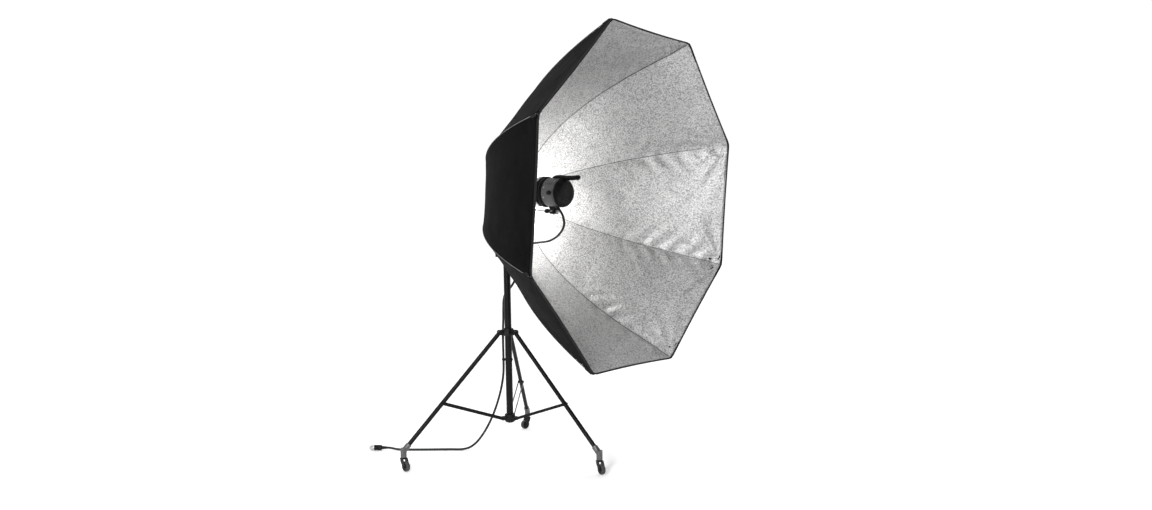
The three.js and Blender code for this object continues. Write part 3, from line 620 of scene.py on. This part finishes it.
def make_lead():
    plug = make_plug()
    make_gland()
    inner = smooth_route(INNER_ROUTE)
    cable = lead_tube("lead_inner_cable", inner, None)
    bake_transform(cable)
    outer = smooth_route(OUTER_ROUTE)
    start = 0.0
    bodies = {"lead_port": ("softbox", "bracket"), "lead_swivel": ("bracket", "riser"),
              "lead_riser": ("riser", "column")}
    for name, end in LEAD_PARTS:
        end = min(end, route_length(outer) - 1e-6)
        points = stretch(outer, start, end)
        crossing = bodies.get(name)
        cable = lead_tube(name + "_cable", points, None if crossing else "column")
        if crossing:
            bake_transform(cable)
        start = end


make_lead()

# ---------------------------------------------------------------- softbox cloth

CORNER_SHARE = 1 / math.cos(math.pi / SIDES)
CLOTH_RIM_R = RIM_R - 0.0006
CLOTH_RUN = 1.05         # seam length from hub to rim
CLOTH_SAG = 0.003
CLOTH_THICK = 0.0009


def corner_point(corner_r, inward):
    """Where a cloth at the given depth inside the bowl runs along a corner, as (corner radius, x)."""
    share = corner_r / RIM_R
    slope = (DEPTH * POWER / RIM_R) * share ** (POWER - 1)
    length = math.hypot(1, slope)
    x = RIM_X - DEPTH * (1 - share**POWER) + inward / length
    return corner_r - (inward * slope / length) * CORNER_SHARE, x


def ease(low, high, value):
    t = min(1, max(0, (value - low) / (high - low)))
    return t * t * (3 - 2 * t)


def lining_depth(along):
    """The lining hangs clear of the ribs and meets the cover in the rim tape."""
    return LINING_DEEP + (RIM_LINING_DEEP - LINING_DEEP) * ease(0.9, 1.0, along)


def cover_depth(along):
    return 0.0002


def rib_angle(i):
    return (i + 0.5) * 2 * math.pi / SIDES


def bowl_point(gore, across, along, inward, rim_r=CLOTH_RIM_R):
    """A point of the cloth before it sags: across runs from rib to rib, along from hub to rim."""
    corner_r = HOLE_R + (rim_r - HOLE_R) * along**0.75
    r, x = corner_point(corner_r, inward)
    a, b = rib_angle(gore - 1), rib_angle(gore)
    left = Vector((x, r * math.cos(a), r * math.sin(a)))
    right = Vector((x, r * math.cos(b), r * math.sin(b)))
    return left.lerp(right, across)


def gore_normal(gore, along, rim_r=CLOTH_RIM_R):
    """The way into the bowl, square to the gore's middle."""
    a = bowl_point(gore, 0.5, max(along - 0.01, 0), 0, rim_r)
    b = bowl_point(gore, 0.5, min(along + 0.01, 1), 0, rim_r)
    middle = (rib_angle(gore - 1) + rib_angle(gore)) / 2
    sideways = Vector((0, -math.sin(middle), math.cos(middle)))
    normal = (b - a).cross(sideways).normalized()
    outward = Vector((0, math.cos(middle), math.sin(middle)))
    return -normal if normal.dot(outward) > 0 else normal


LOOSE_RIBS = {0: 0.9, 1: 0.9, 2: 0.4, 6: 0.9, 7: 1.0}


def folds(gore, across, along, width, strength):
    """How far the cloth stands from flat because of tension folds and puckered seams, in metres."""
    from_seam = min(across, 1 - across) * width
    from_rim = (1 - along) * CLOTH_RUN
    run = along * CLOTH_RUN
    phase = gore * 2.3
    height = 0.0
    for side, corner in ((0, across), (1, 1 - across)):
        loose = LOOSE_RIBS.get((gore - 1 + side) % SIDES, 0.35)
        dx, dy = corner * width, from_rim
        distance = math.hypot(dx, dy)
        turn = math.atan2(dx, dy)
        fan = math.sin(turn * 13 + phase + side * 1.7 + 2.0 * distance)
        height += 0.0105 * loose * fan * math.exp(-distance / 0.13) * min(1, distance / 0.06)
        wander = 3 * noise.noise(Vector((run * 9, 0, 3)))
        tuck = math.sin(2 * math.pi * (run - 0.9 * dx) / 0.085 + side * 0.8 + wander)
        reach = ease(0.45, 0.72, along) * (1 - ease(0.93, 1.0, along))
        height += 0.009 * max(0, loose - 0.5) * 2 * tuck * math.exp(-dx / 0.055) * min(1, dx / 0.02) * reach
    height += 0.0008 * math.exp(-from_seam / 0.018) * math.sin(2 * math.pi * run / 0.034 + phase)
    height += 0.001 * math.exp(-from_rim / 0.022) * math.sin(2 * math.pi * across * width / 0.041 + phase)
    spot = Vector((across * width * 3.2 + gore * 7.1, run * 3.2, gore * 1.7))
    height += 0.009 * noise.noise(spot) * min(1, from_seam / 0.07) * min(1, from_rim / 0.07)
    spot = Vector((across * width * 11 + gore * 3.3, run * 9, gore * 5.1))
    height += 0.0026 * noise.noise(spot) * min(1, from_seam / 0.03)
    return height * strength * min(1, from_rim / 0.012)


def sag(across, along):
    """How far the cloth between two ribs is pulled into the bowl."""
    return CLOTH_SAG * 4 * across * (1 - across) * (0.25 + 0.75 * along)


RIM_PULL = 0.006


def gored_sheet(name, depth, strength, columns, rows, material, node):
    """Eight gores sewn into one continuous sheet."""
    verts, faces, uvs = [], [], []
    index = {}
    for gore in range(SIDES):
        for j in range(rows + 1):
            along = j / rows
            normal = gore_normal(gore, along)
            inward = depth(along)
            left, right = bowl_point(gore, 0, along, inward), bowl_point(gore, 1, along, inward)
            width = (right - left).length
            for i in range(columns + 1):
                if i == columns:
                    index[gore, i, j] = ((gore + 1) % SIDES, 0, j)
                    continue
                across = i / columns
                p = left.lerp(right, across)
                push = sag(across, along) + folds(gore, across, along, width, strength)
                middle = (rib_angle(gore - 1) + rib_angle(gore)) / 2
                pull = RIM_PULL * 4 * across * (1 - across) * along**6
                p = p + normal * push - Vector((0, math.cos(middle), math.sin(middle))) * pull
                index[gore, i, j] = len(verts)
                verts.append(BOWL @ p)

    def vert(gore, i, j):
        found = index[gore, i, j]
        return index[found] if isinstance(found, tuple) else found

    for gore in range(SIDES):
        for j in range(rows):
            v0, v1 = j / rows * CLOTH_RUN, (j + 1) / rows * CLOTH_RUN
            w0 = (bowl_point(gore, 1, j / rows, 0) - bowl_point(gore, 0, j / rows, 0)).length
            w1 = (bowl_point(gore, 1, (j + 1) / rows, 0) - bowl_point(gore, 0, (j + 1) / rows, 0)).length
            for i in range(columns):
                steps = ((i, j), (i, j + 1), (i + 1, j + 1), (i + 1, j))
                faces.append(tuple(vert(gore, a, b) for a, b in steps))
                a, b = i / columns - 0.5, (i + 1) / columns - 0.5
                uvs += [(a * w0 + gore, v0), (a * w1 + gore, v1), (b * w1 + gore, v1), (b * w0 + gore, v0)]
    made = mesh_object(name, verts, faces, [material])
    layer = made.data.uv_layers.new(name="cloth")
    layer.data.foreach_set("uv", [c for uv in uvs for c in uv])
    solid = made.modifiers.new("thickness", "SOLIDIFY")
    solid.thickness = CLOTH_THICK
    solid.offset = 0
    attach(made, "softbox")
    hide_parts(node)
    return made


def rim_line(inward, x_shift, per_side=24, corner=0.022):
    """The closed line of the rim, with pulled-in sides and rounded corners, in the bowl's frame."""
    line = []
    side = 2 * RIM_R * math.sin(math.pi / SIDES)
    for gore in range(SIDES):
        a, b = rib_angle(gore - 1), rib_angle(gore)
        middle = (a + b) / 2
        outward = Vector((0, math.cos(middle), math.sin(middle)))
        r = RIM_R - inward * CORNER_SHARE
        left = Vector((0, r * math.cos(a), r * math.sin(a)))
        right = Vector((0, r * math.cos(b), r * math.sin(b)))
        for i in range(per_side):
            t = i / per_side
            from_end = min(t, 1 - t) * side
            round_off = 0.0045 * max(0, 1 - from_end / corner) ** 2
            p = left.lerp(right, t) - outward * (RIM_PULL * 4 * t * (1 - t) + round_off)
            line.append(p + Vector((HEM_X + x_shift, 0, 0)))
    return line


def make_hem():
    """The folded tape round the mouth: a soft rounded band with a row of stitches."""
    section = []
    half_w, half_t, soft = 0.0046, HEM_DEEP / 2, 0.0018
    for cx, cy, start in ((1, 1, 0), (-1, 1, 90), (-1, -1, 180), (1, -1, 270)):
        for k in range(4):
            angle = math.radians(start + 30 * k)
            section.append(((half_w - soft) * cx + soft * math.cos(angle),
                            (half_t - soft) * cy + soft * math.sin(angle)))
    line = rim_line(HEM_DEEP / 2 - 0.0004, 0)
    count = len(line)
    verts, faces, sides = [], [], len(section)
    for i, p in enumerate(line):
        out = Vector((0, p.y, p.z)).normalized()
        puff = 1 + 0.03 * math.sin(i * 2.1) + 0.02 * math.sin(i * 0.83)
        for sx, sr in section:
            verts.append(BOWL @ (p + Vector((sx * puff, 0, 0)) + out * sr))
    for i in range(count):
        j = (i + 1) % count
        for k in range(sides):
            m = (k + 1) % sides
            faces.append((i * sides + k, j * sides + k, j * sides + m, i * sides + m))
    build = Build()
    build.add(verts, faces)
    stitches = rim_line(0.0022, 0.0046, per_side=104)
    lift = Vector((0.0003, 0, 0))
    for a, b in zip(stitches, stitches[1:]):
        start, end = a.lerp(b, 0.15), a.lerp(b, 0.75)
        build.tube([BOWL @ start, BOWL @ (start.lerp(end, 0.5) + lift), BOWL @ end], 0.00035, 4, 1)
    return build.piece("rim_tape", "softbox", "black_cloth", [BLACK_TAPE, SEAM_TAPE], ["rim_hem"])


def rib_line(i, inward, start=0.0, end=1.0, count=70):
    line = []
    for k in range(count + 1):
        along = start + (end - start) * k / count
        corner_r = HOLE_R + (CLOTH_RIM_R - HOLE_R) * along**0.75
        r, x = corner_point(corner_r, inward(along) if callable(inward) else inward)
        line.append(BOWL @ Vector((x, r * math.cos(rib_angle(i)), r * math.sin(rib_angle(i)))))
    return line


def make_ribs():
    """Fibre rods between cover and lining, slimmer where they enter the rim pockets, with metal ferrules."""
    core = []
    for k in range(6):
        corner_r = 0.086 + (HOLE_R - 0.086) * k / 6
        core.append(corner_point(corner_r, 0.007))
    for i in range(SIDES):
        turn = Vector((0, math.cos(rib_angle(i)), math.sin(rib_angle(i))))
        start = [BOWL @ (turn * r + Vector((x, 0, 0))) for r, x in core]
        line = rib_line(i, lambda along: 0.007 - 0.0046 * ease(0.86, 0.96, along), 0.0, 0.985, 60)
        radii = [0.0035] * len(start) + [0.0035 - 0.0021 * ease(0.86, 0.96, 0.985 * k / 60) for k in range(61)]
        build = Build()
        build.tube(start + line, radii, 12)
        build.tube(line[:5], 0.0041, 12, 1)
        build.piece(f"rib_rod_{i + 1}", "softbox", "rib_fibre", [FIBRE, STEEL], [f"rib_{i + 1}"])


def make_seams():
    piping, binding = Build(), Build()
    for i in range(SIDES):
        piping.tube(rib_line(i, -0.0008, 0.01, 0.995), 0.0018, 8)
        binding.tube(rib_line(i, lambda along: lining_depth(along) + 0.0014, 0.01, 0.992, 110), 0.0015, 8)
    piping.piece("outer_piping", "softbox", "black_cloth", [GREY_PIPING])
    binding.piece("inner_seam_binding", "softbox", "black_cloth", [SEAM_TAPE])


def make_corner_pockets():
    """A webbing pocket at each corner of the rim that takes the end of a rib."""
    build = Build()
    for i in range(SIDES):
        line = rib_line(i, -0.0016, 0.958, 0.992, 8)
        centre = BOWL @ Vector((0.5, 0, 0))
        rows = []
        for k, p in enumerate(line):
            after = line[min(k + 1, 8)]
            before = line[max(k - 1, 0)]
            along = (after - before).normalized()
            out = (p - centre)
            out = (out - along * out.dot(along)).normalized()
            side = along.cross(out)
            rows.append((p, side, out))
        verts, faces = [], []
        half = 0.008
        for p, side, out in rows:
            for s, lift in ((-1, -0.0048), (-0.5, -0.002), (0, 0.003), (0.5, -0.002), (1, -0.0048)):
                verts.append(p + side * half * s + out * lift)
            for s, lift in ((1, -0.0062), (0, 0.0012), (-1, -0.0062)):
                verts.append(p + side * half * s + out * lift)
        for k in range(len(rows) - 1):
            for m in range(8):
                n = (m + 1) % 8
                faces.append((k * 8 + m, (k + 1) * 8 + m, (k + 1) * 8 + n, k * 8 + n))
        faces.append(tuple(reversed(range(8))))
        faces.append(tuple((len(rows) - 1) * 8 + m for m in range(8)))
        build.add(verts, faces)
    return build.piece("rim_corner_pockets", "softbox", "black_cloth", [BLACK_TAPE])


def make_cloth():
    cover = gored_sheet("cover_gores", cover_depth, 0.8, 20, 64, COVER_CLOTH, "outer_cover")
    lining = gored_sheet("lining_gores", lining_depth, 1.0, 36, 120, LINING_CLOTH,
                         "silver_lining")
    hem = make_hem()
    make_ribs()
    make_seams()
    make_corner_pockets()


make_cloth()

# ---------------------------------------------------------------- flash head

HOUSING_R = 0.07
DIAL_X = 0.344


def make_bayonet():
    build = Build()
    front = [(0.06, 0.2665), (0.06, 0.237), (0.0735, 0.237), (0.075, 0.2385), (0.075, 0.244),
             (0.0738, 0.2448), (0.0712, 0.245)]
    groove = [(0.0712, 0.245), (0.0712, 0.2488), (0.0738, 0.249)]
    band = [(0.0738, 0.249), (0.075, 0.25), (0.075, 0.253), (0.0744, 0.2536)]
    grip = [(0.0744, 0.2536)]
    for i in range(3):
        x = 0.254 + i * 0.003
        grip += [(0.075, x), (0.075, x + 0.0014), (0.0738, x + 0.0018), (0.0738, x + 0.0026)]
    grip += [(0.075, 0.2632), (0.075, 0.264), (0.0732, 0.2668), (0.0602, 0.2669), (0.06, 0.2665)]
    for profile, slot in ((front, 0), (groove, 1), (band, 0), (grip, 1)):
        build.lathe(profile, HEAD, 96, slot)
    for i in range(3):
        turn = HEAD @ Matrix.Rotation(math.radians(120 * i + 40), 4, "X")
        build.block((0.2395, -0.008, 0.0748), (0.2435, 0.008, 0.0768), turn, 0)
    return build.piece("speed_ring", "bayonet", "satin_steel", [STEEL, PLASTIC], ["bayonet_ring"])


def make_flange():
    build = Build()
    profile = [(0, 0.2712), (0.0598, 0.2712), (0.0598, 0.2682), (0.068, 0.2682), (0.068, 0.273),
               (0.0733, 0.2738), (0.074, 0.2748), (0.074, 0.2782), (0.0728, 0.2792),
               (0.0675, 0.28), (0.066, 0.2815)]
    for i in range(3):
        x = 0.2825 + i * 0.003
        profile += [(0.067, x), (0.067, x + 0.0014), (0.0645, x + 0.0016), (0.0645, x + 0.0029)]
    profile += [(0.067, 0.2916), (0.0602, 0.2916), (0.0602, 0.275), (0, 0.275)]
    build.lathe(profile, HEAD, 96)
    return build.piece("mount_collar", "head", "black_plastic", [PLASTIC], ["mount_flange"])


def make_housing():
    """The speckled can, with a trim line and a row of cooling slots at its top and bottom; the slots are not
    cut but drawn as black blocks, painted shade of the openings.
    """
    build = Build()
    segments = 144
    xs = [0.2921, 0.2935, 0.2975, 0.2982, 0.299, 0.2998, 0.306, 0.31, 0.318, 0.322, 0.33, 0.334,
          0.342, 0.346, 0.354, 0.357, 0.3577, 0.3585, 0.3592, 0.364, 0.3655]
    grooves = {0.299: 0.0009, 0.3585: 0.0009}
    edges = {0.2921: 0.0012, 0.3655: 0.0008}
    slots = {(0.306, 0.31), (0.318, 0.322), (0.33, 0.334), (0.342, 0.346)}
    verts, rows = [], []
    for x in xs:
        rows.append(len(verts))
        for i in range(segments):
            angle = 2 * math.pi * i / segments
            r = HOUSING_R - grooves.get(x, 0) - edges.get(x, 0)
            verts.append((x, r * math.cos(angle), r * math.sin(angle)))
    faces = []
    for a in range(len(xs) - 1):
        for i in range(segments):
            j = (i + 1) % segments
            faces.append((rows[a] + i, rows[a + 1] + i, rows[a + 1] + j, rows[a] + j))
    build.add(verts, faces, HEAD)
    inner = [(HOUSING_R - 0.0012, 0.2921), (0.0622, 0.2922), (0.0622, 0.296), (0.067, 0.2962), (0.067, 0.3654),
             (HOUSING_R - 0.0008, 0.3655)]
    build.lathe(inner, HEAD, segments)
    # painted shade: the vent openings are not cut, black plastic blocks sit in the can wall where the holes
    # would show dark
    for lo, hi in sorted(slots):
        for centre in (38, 52, 66, 114, 128, 142):
            turn = HEAD @ Matrix.Rotation(math.radians(centre - 90), 4, "X")
            build.block((lo, -0.0062, HOUSING_R - 0.0012), (hi - 0.0012, 0.0062, HOUSING_R + 0.0002), turn, 1)
    for angle in (20, 160, 200, 340):
        around = Matrix.Rotation(math.radians(angle - 90), 4, "X")
        turn = HEAD @ around @ Matrix.Translation((0.3045, 0, HOUSING_R - 0.0004))
        screw = turn @ Matrix.Rotation(-math.pi / 2, 4, "Y")
        build.lathe([(0, 0), (0.0032, 0), (0.0032, 0.0011), (0.0024, 0.0016), (0.0012, 0.0016), (0.001, 0.0009),
                     (0, 0.0009)], screw, 16, 2)
    return build.piece("head_can", "head", "grey_plastic", [SPECKLED, PLASTIC, STEEL], ["front_housing"])


def make_rear():
    """The dark rear cover with stepped vents and four screws."""
    build = Build()
    profile = [(HOUSING_R - 0.0042, 0.3662), (HOUSING_R - 0.0002, 0.3662), (HOUSING_R, 0.3668),
               (HOUSING_R, 0.3715), (0.0692, 0.3722)]
    for i in range(3):
        x, r = 0.3735 + i * 0.004, 0.0688 - i * 0.001
        profile += [(r, x), (r, x + 0.0018), (r - 0.0018, x + 0.002), (r - 0.0018, x + 0.0038)]
    profile += [(0.0655, 0.3858), (0.064, 0.3872), (0.0545, 0.3968), (0.0525, 0.3979), (0.033, 0.3979),
                (0.0325, 0.397), (0.0315, 0.397), (0.031, 0.3979), (0, 0.3979)]
    build.lathe(profile, HEAD, 96)
    back = [(0.0657, 0.3663), (0.062, 0.385), (0.05, 0.3948), (0, 0.3948)]
    build.lathe([(HOUSING_R - 0.0042, 0.3662)] + back, HEAD, 96)
    for i in range(7):
        z = -0.021 + i * 0.007
        half = math.sqrt(0.029**2 - z**2)
        build.block((0.3972, -half, z - 0.0014), (0.3987, half, z + 0.0014), HEAD, 0)
    for angle in (45, 135, 225, 315):
        y, z = 0.043 * math.cos(math.radians(angle)), 0.043 * math.sin(math.radians(angle))
        screw = HEAD @ Matrix.Translation((0.3977, y, z))
        build.lathe([(0, 0), (0.0034, 0), (0.0034, 0.0012), (0.0027, 0.0018), (0.0014, 0.0018), (0.0012, 0.001),
                     (0, 0.001)], screw, 16, 1)
    return build.piece("head_rear_cover", "head", "black_plastic", [PLASTIC, PAINT], ["rear_cover"])


def make_dial():
    build = Build()
    here = HEAD @ Matrix.Translation((DIAL_X, 0, 0)) @ Matrix.Rotation(-math.pi / 2, 4, "Z")
    profile = [(0, HOUSING_R - 0.007), (0.0047, HOUSING_R - 0.007), (0.0047, HOUSING_R + 0.0004),
               (0.01, HOUSING_R + 0.0005), (0.01, 0.0795), (0.0092, 0.0812), (0.008, 0.0818), (0.0062, 0.0812),
               (0, 0.0812)]
    build.lathe(profile, here, 48)
    for i in range(20):
        turn = here @ Matrix.Rotation(2 * math.pi * i / 20, 4, "X")
        build.block((HOUSING_R + 0.0015, -0.0007, 0.0095), (0.0796, 0.0007, 0.0104), turn, 0)
    build.block((0.0808, -0.0006, 0.0018), (0.0816, 0.0006, 0.0078), here, 1)
    return build.piece("dial_cap", "dial", "black_plastic", [PLASTIC, SPECKLED], ["power_dial"])


def make_handle():
    """The carrying grip: a moulded foot on the can and a ribbed bar with a round end."""
    build = Build()
    ring_count = 28
    centre = [(0.313, 0.0705), (0.318, 0.0722), (0.328, 0.074), (0.342, 0.0748), (0.356, 0.0744),
              (0.37, 0.0732), (0.385, 0.0722), (0.4, 0.0718), (0.418, 0.0722), (0.436, 0.0735),
              (0.448, 0.0744), (0.456, 0.075), (0.464, 0.0753), (0.4695, 0.0755), (0.4714, 0.0756)]
    widths = [0.012, 0.016, 0.017, 0.017, 0.016, 0.014, 0.0122, 0.0114, 0.011, 0.011, 0.0118, 0.0124,
              0.012, 0.0092, 0.0045]
    heights = [0.004, 0.0075, 0.0095, 0.0105, 0.011, 0.011, 0.011, 0.011, 0.011, 0.011, 0.0118, 0.0124,
               0.012, 0.0092, 0.0045]
    verts, faces = [], []
    for (x, z), w, h in zip(centre, widths, heights):
        for k in range(ring_count):
            angle = 2 * math.pi * k / ring_count
            y, up = w * math.cos(angle), h * math.sin(angle)
            bottom = z + up
            if x < 0.365:
                bottom = max(bottom, math.sqrt(HOUSING_R**2 - min(abs(y), 0.06) ** 2) + 0.0002)
            verts.append((x, y, bottom))
    rows = len(centre)
    for a in range(rows - 1):
        for k in range(ring_count):
            m = (k + 1) % ring_count
            low, high = a * ring_count, (a + 1) * ring_count
            faces.append((low + k, low + m, high + m, high + k))
    faces.append(tuple(reversed(range(ring_count))))
    faces.append(tuple((rows - 1) * ring_count + k for k in range(ring_count)))
    build.add(verts, faces, HEAD)
    for i in range(6):
        x = 0.402 + i * 0.0062
        z = 0.0718 + i * 0.00025
        build.lathe([(0.01, x - 0.0016), (0.0116, x - 0.001), (0.0116, x + 0.001), (0.01, x + 0.0016)],
                    HEAD @ Matrix.Translation((0, 0, z)), 28)
    return build.piece("carry_grip", "head", "black_plastic", [PLASTIC], ["grip_handle"])


def lobed(build, here, start, end, radius, lobes=6, slot=0):
    """A moulded hand knob with soft lobes along the matrix's X axis."""
    segments, soft = 72, 0.0024
    profile = [(0.0, start)]
    for k in range(5):
        angle = math.pi / 2 * k / 4
        profile.append((1 - soft / radius * (1 - math.sin(angle)), start + soft * (1 - math.cos(angle))))
    for k in range(5):
        angle = math.pi / 2 * k / 4
        profile.append((1 - soft / radius * (1 - math.cos(angle)), end - soft * (1 - math.sin(angle))))
    profile += [(0.55, end), (0.5, end - 0.0008), (0.0, end - 0.0008)]
    verts, rows, faces = [], [], []
    for share, x in profile:
        rows.append(len(verts))
        for i in range(segments):
            angle = 2 * math.pi * i / segments
            wave = 1 - 0.11 * (0.5 - 0.5 * math.cos(lobes * angle)) ** 2 * ease(0.6, 1.0, share)
            r = max(share, 1e-4) * radius * wave
            verts.append((x, r * math.cos(angle), r * math.sin(angle)))
    for a, b in zip(rows, rows[1:]):
        for i in range(segments):
            j = (i + 1) % segments
            faces.append((a + i, b + i, b + j, a + j))
    build.add(verts, faces, here, slot)


def make_knob(name, node, body, here, stud_start, start, end, radius):
    build = Build()
    lobed(build, here, start, end, radius)
    build.lathe([(0, start - 0.003), (radius * 0.6, start - 0.003), (radius * 0.62, start - 0.0026),
                 (radius * 0.62, start + 0.0004)], here, 40, 0)
    stud = [(0, stud_start)]
    turns = int((start - 0.003 - stud_start) / 0.0012)
    for i in range(turns):
        x = stud_start + i * 0.0012
        stud += [(0.003, x), (0.0035, x + 0.0004), (0.0035, x + 0.0007), (0.003, x + 0.0011)]
    build.lathe(stud + [(0.0032, start - 0.0028), (0, start - 0.0028)], here, 24, 1)
    return build.piece(name, body, "black_plastic", [PLASTIC, STEEL], [node])


def make_hand_knobs():
    clamp = HEAD @ Matrix.Translation((0.318, 0, BAR_Z - HEAD_Z)) @ Matrix.Rotation(-math.pi / 2, 4, "Z")
    make_knob("clamp_hand_knob", "head_clamp_knob", "head_screw", clamp, 0.0088, 0.04, 0.062, 0.011)
    column = COLUMN @ Matrix.Translation((0, 0, 1.04)) @ Matrix.Rotation(math.radians(218), 4, "Z")
    make_knob("column_hand_knob", "column_clamp_knob", "column_knob", column, 0.0149, 0.038, 0.056, 0.014)


def make_head():
    make_bayonet()
    make_flange()
    make_housing()
    make_rear()
    make_dial()
    make_handle()
    make_hand_knobs()


make_head()

# ---------------------------------------------------------------- castors


def make_wheels():
    for number, (yaw, heading) in enumerate(((2.5, -23), (122.5, -103), (242.5, -8)), 1):
        yaw, heading = math.radians(yaw), math.radians(heading)
        hub = place(0.555 * math.cos(yaw) + 0.018 * math.cos(heading),
                    0.555 * math.sin(yaw) + 0.018 * math.sin(heading), 0.025)
        here = Matrix.Translation(hub) @ Matrix.Rotation(heading + math.pi / 2, 4, "Z")
        build = Build()
        tyre = [(0.019, -0.0098), (0.0215, -0.01), (0.0235, -0.009), (0.0247, -0.0066), (0.025, -0.003),
                (0.025, 0.003), (0.0247, 0.0066), (0.0235, 0.009), (0.0215, 0.01), (0.019, 0.0098)]
        build.lathe(tyre, here, 64, 0)
        for side in (-1, 1):
            core = [(0.019, 0.0098 * side), (0.0188, 0.0086 * side), (0.016, 0.0078 * side),
                    (0.0105, 0.0078 * side), (0.0095, 0.0092 * side), (0.0045, 0.0096 * side), (0.0045, 0.0)]
            build.lathe(core if side > 0 else core, here, 64, 1)
        build.piece(f"castor_tread_{number}", f"wheel_{number}", "wheel_grey", [TYRE, PLASTIC],
                    [f"caster_wheel_{number}"])


make_wheels()

# ---------------------------------------------------------------- CAD pieces that keep their shape


def dress_frame():
    groups = (
        (PAINT, 0.0005, ["column_tube", "riser_tube", "swivel_socket", "tilt_block", "head_clamp"]
         + [f"leg_tube_{i}" for i in (1, 2, 3)] + [f"brace_{i}" for i in (1, 2, 3)]),
        (PLASTIC, 0.0008, ["column_clamp", "leg_collar", "collar_knob", "foot_hub", "swivel_knob",
                           "tilt_handle", "hub_back_cap"]
         + [f"caster_fork_{i}" for i in (1, 2, 3)]),
        (CAST, 0.001, ["hub_core"] + [f"caster_socket_{i}" for i in (1, 2, 3)]),
        (STEEL, 0.0006, ["head_bar"]),
        (RUBBER, 0.0005, ["cable_port"]),
        (BLACK_TAPE, 0.0005, ["lead_tie"]),
        (DOME_GLASS, 0.0003, ["glass_dome"]),
        (LAMP_GLASS, 0.0003, ["modelling_lamp", "flash_tube"]),
    )
    for material, bevel, nodes in groups:
        for node in nodes:
            dress(node, material, bevel)


dress_frame()

# ---------------------------------------------------------------- floor and light


def make_stage():
    size, deep = 14, -0.0004
    corners = [(-size, -size, deep), (size, -size, deep), (size, size, deep), (-size, size, deep)]
    made = mesh_object("studio_floor", corners, [(0, 1, 2, 3)], [make_floor()])
    world = bpy.data.worlds.new("studio")
    world.use_nodes = True
    tree = world.node_tree
    background = tree.nodes["Background"]
    background.inputs["Color"].default_value = (1, 1, 1, 1)
    direction = tree.nodes.new("ShaderNodeTexCoord")
    toward_wall = tree.nodes.new("ShaderNodeVectorMath")
    toward_wall.operation = "DOT_PRODUCT"
    toward_wall.inputs[1].default_value = (-0.62, 0.785, 0)
    tree.links.new(direction.outputs["Generated"], toward_wall.inputs[0])
    glow = tree.nodes.new("ShaderNodeMapRange")
    glow.inputs["From Min"].default_value = -0.1
    glow.inputs["From Max"].default_value = 0.6
    glow.inputs["To Min"].default_value = 0.17
    glow.inputs["To Max"].default_value = 1.05
    tree.links.new(toward_wall.outputs["Value"], glow.inputs["Value"])
    tree.links.new(glow.outputs["Result"], background.inputs["Strength"])
    bpy.context.scene.world = world
    bpy.context.scene.view_settings.view_transform = "Standard"


def add_light(name, kind, at, aim, energy, size=1.0, color=(1, 1, 1)):
    data = bpy.data.lights.new(name, kind)
    data.energy = energy
    data.color = color
    if kind == "AREA":
        data.size = size
    if kind == "SUN":
        data.angle = math.radians(70)
    if kind == "POINT":
        data.shadow_soft_size = size
    made = bpy.data.objects.new(name, data)
    at, aim = Vector(at), Vector(aim)
    turn = (aim - at).to_track_quat("-Z", "Y").to_matrix().to_4x4()
    made.matrix_world = Matrix.Translation(at) @ turn
    bpy.context.scene.collection.objects.link(made)
    return made


def make_lights():
    add_light("side", "AREA", (1.3, -3.6, 2.2), (0.2, 0.2, 1.3), 135, 0.9)
    add_light("overhead", "SUN", (0, 0, 4), (0, 0, 0), 1.45)
    glow_at, hub_centre = HEAD @ Vector((0.188, 0.04, -0.064)), HEAD @ Vector((-0.5, 0, 0))
    lamp = add_light("head_lamp", "POINT", glow_at, hub_centre, 18, 0.04, (1, 0.99, 0.97))
    world = lamp.matrix_world.copy()
    lamp.parent = frame["bodies"]["head"]
    lamp.matrix_parent_inverse = Matrix.Identity(4)
    lamp.matrix_world = world


make_stage()
make_lights()
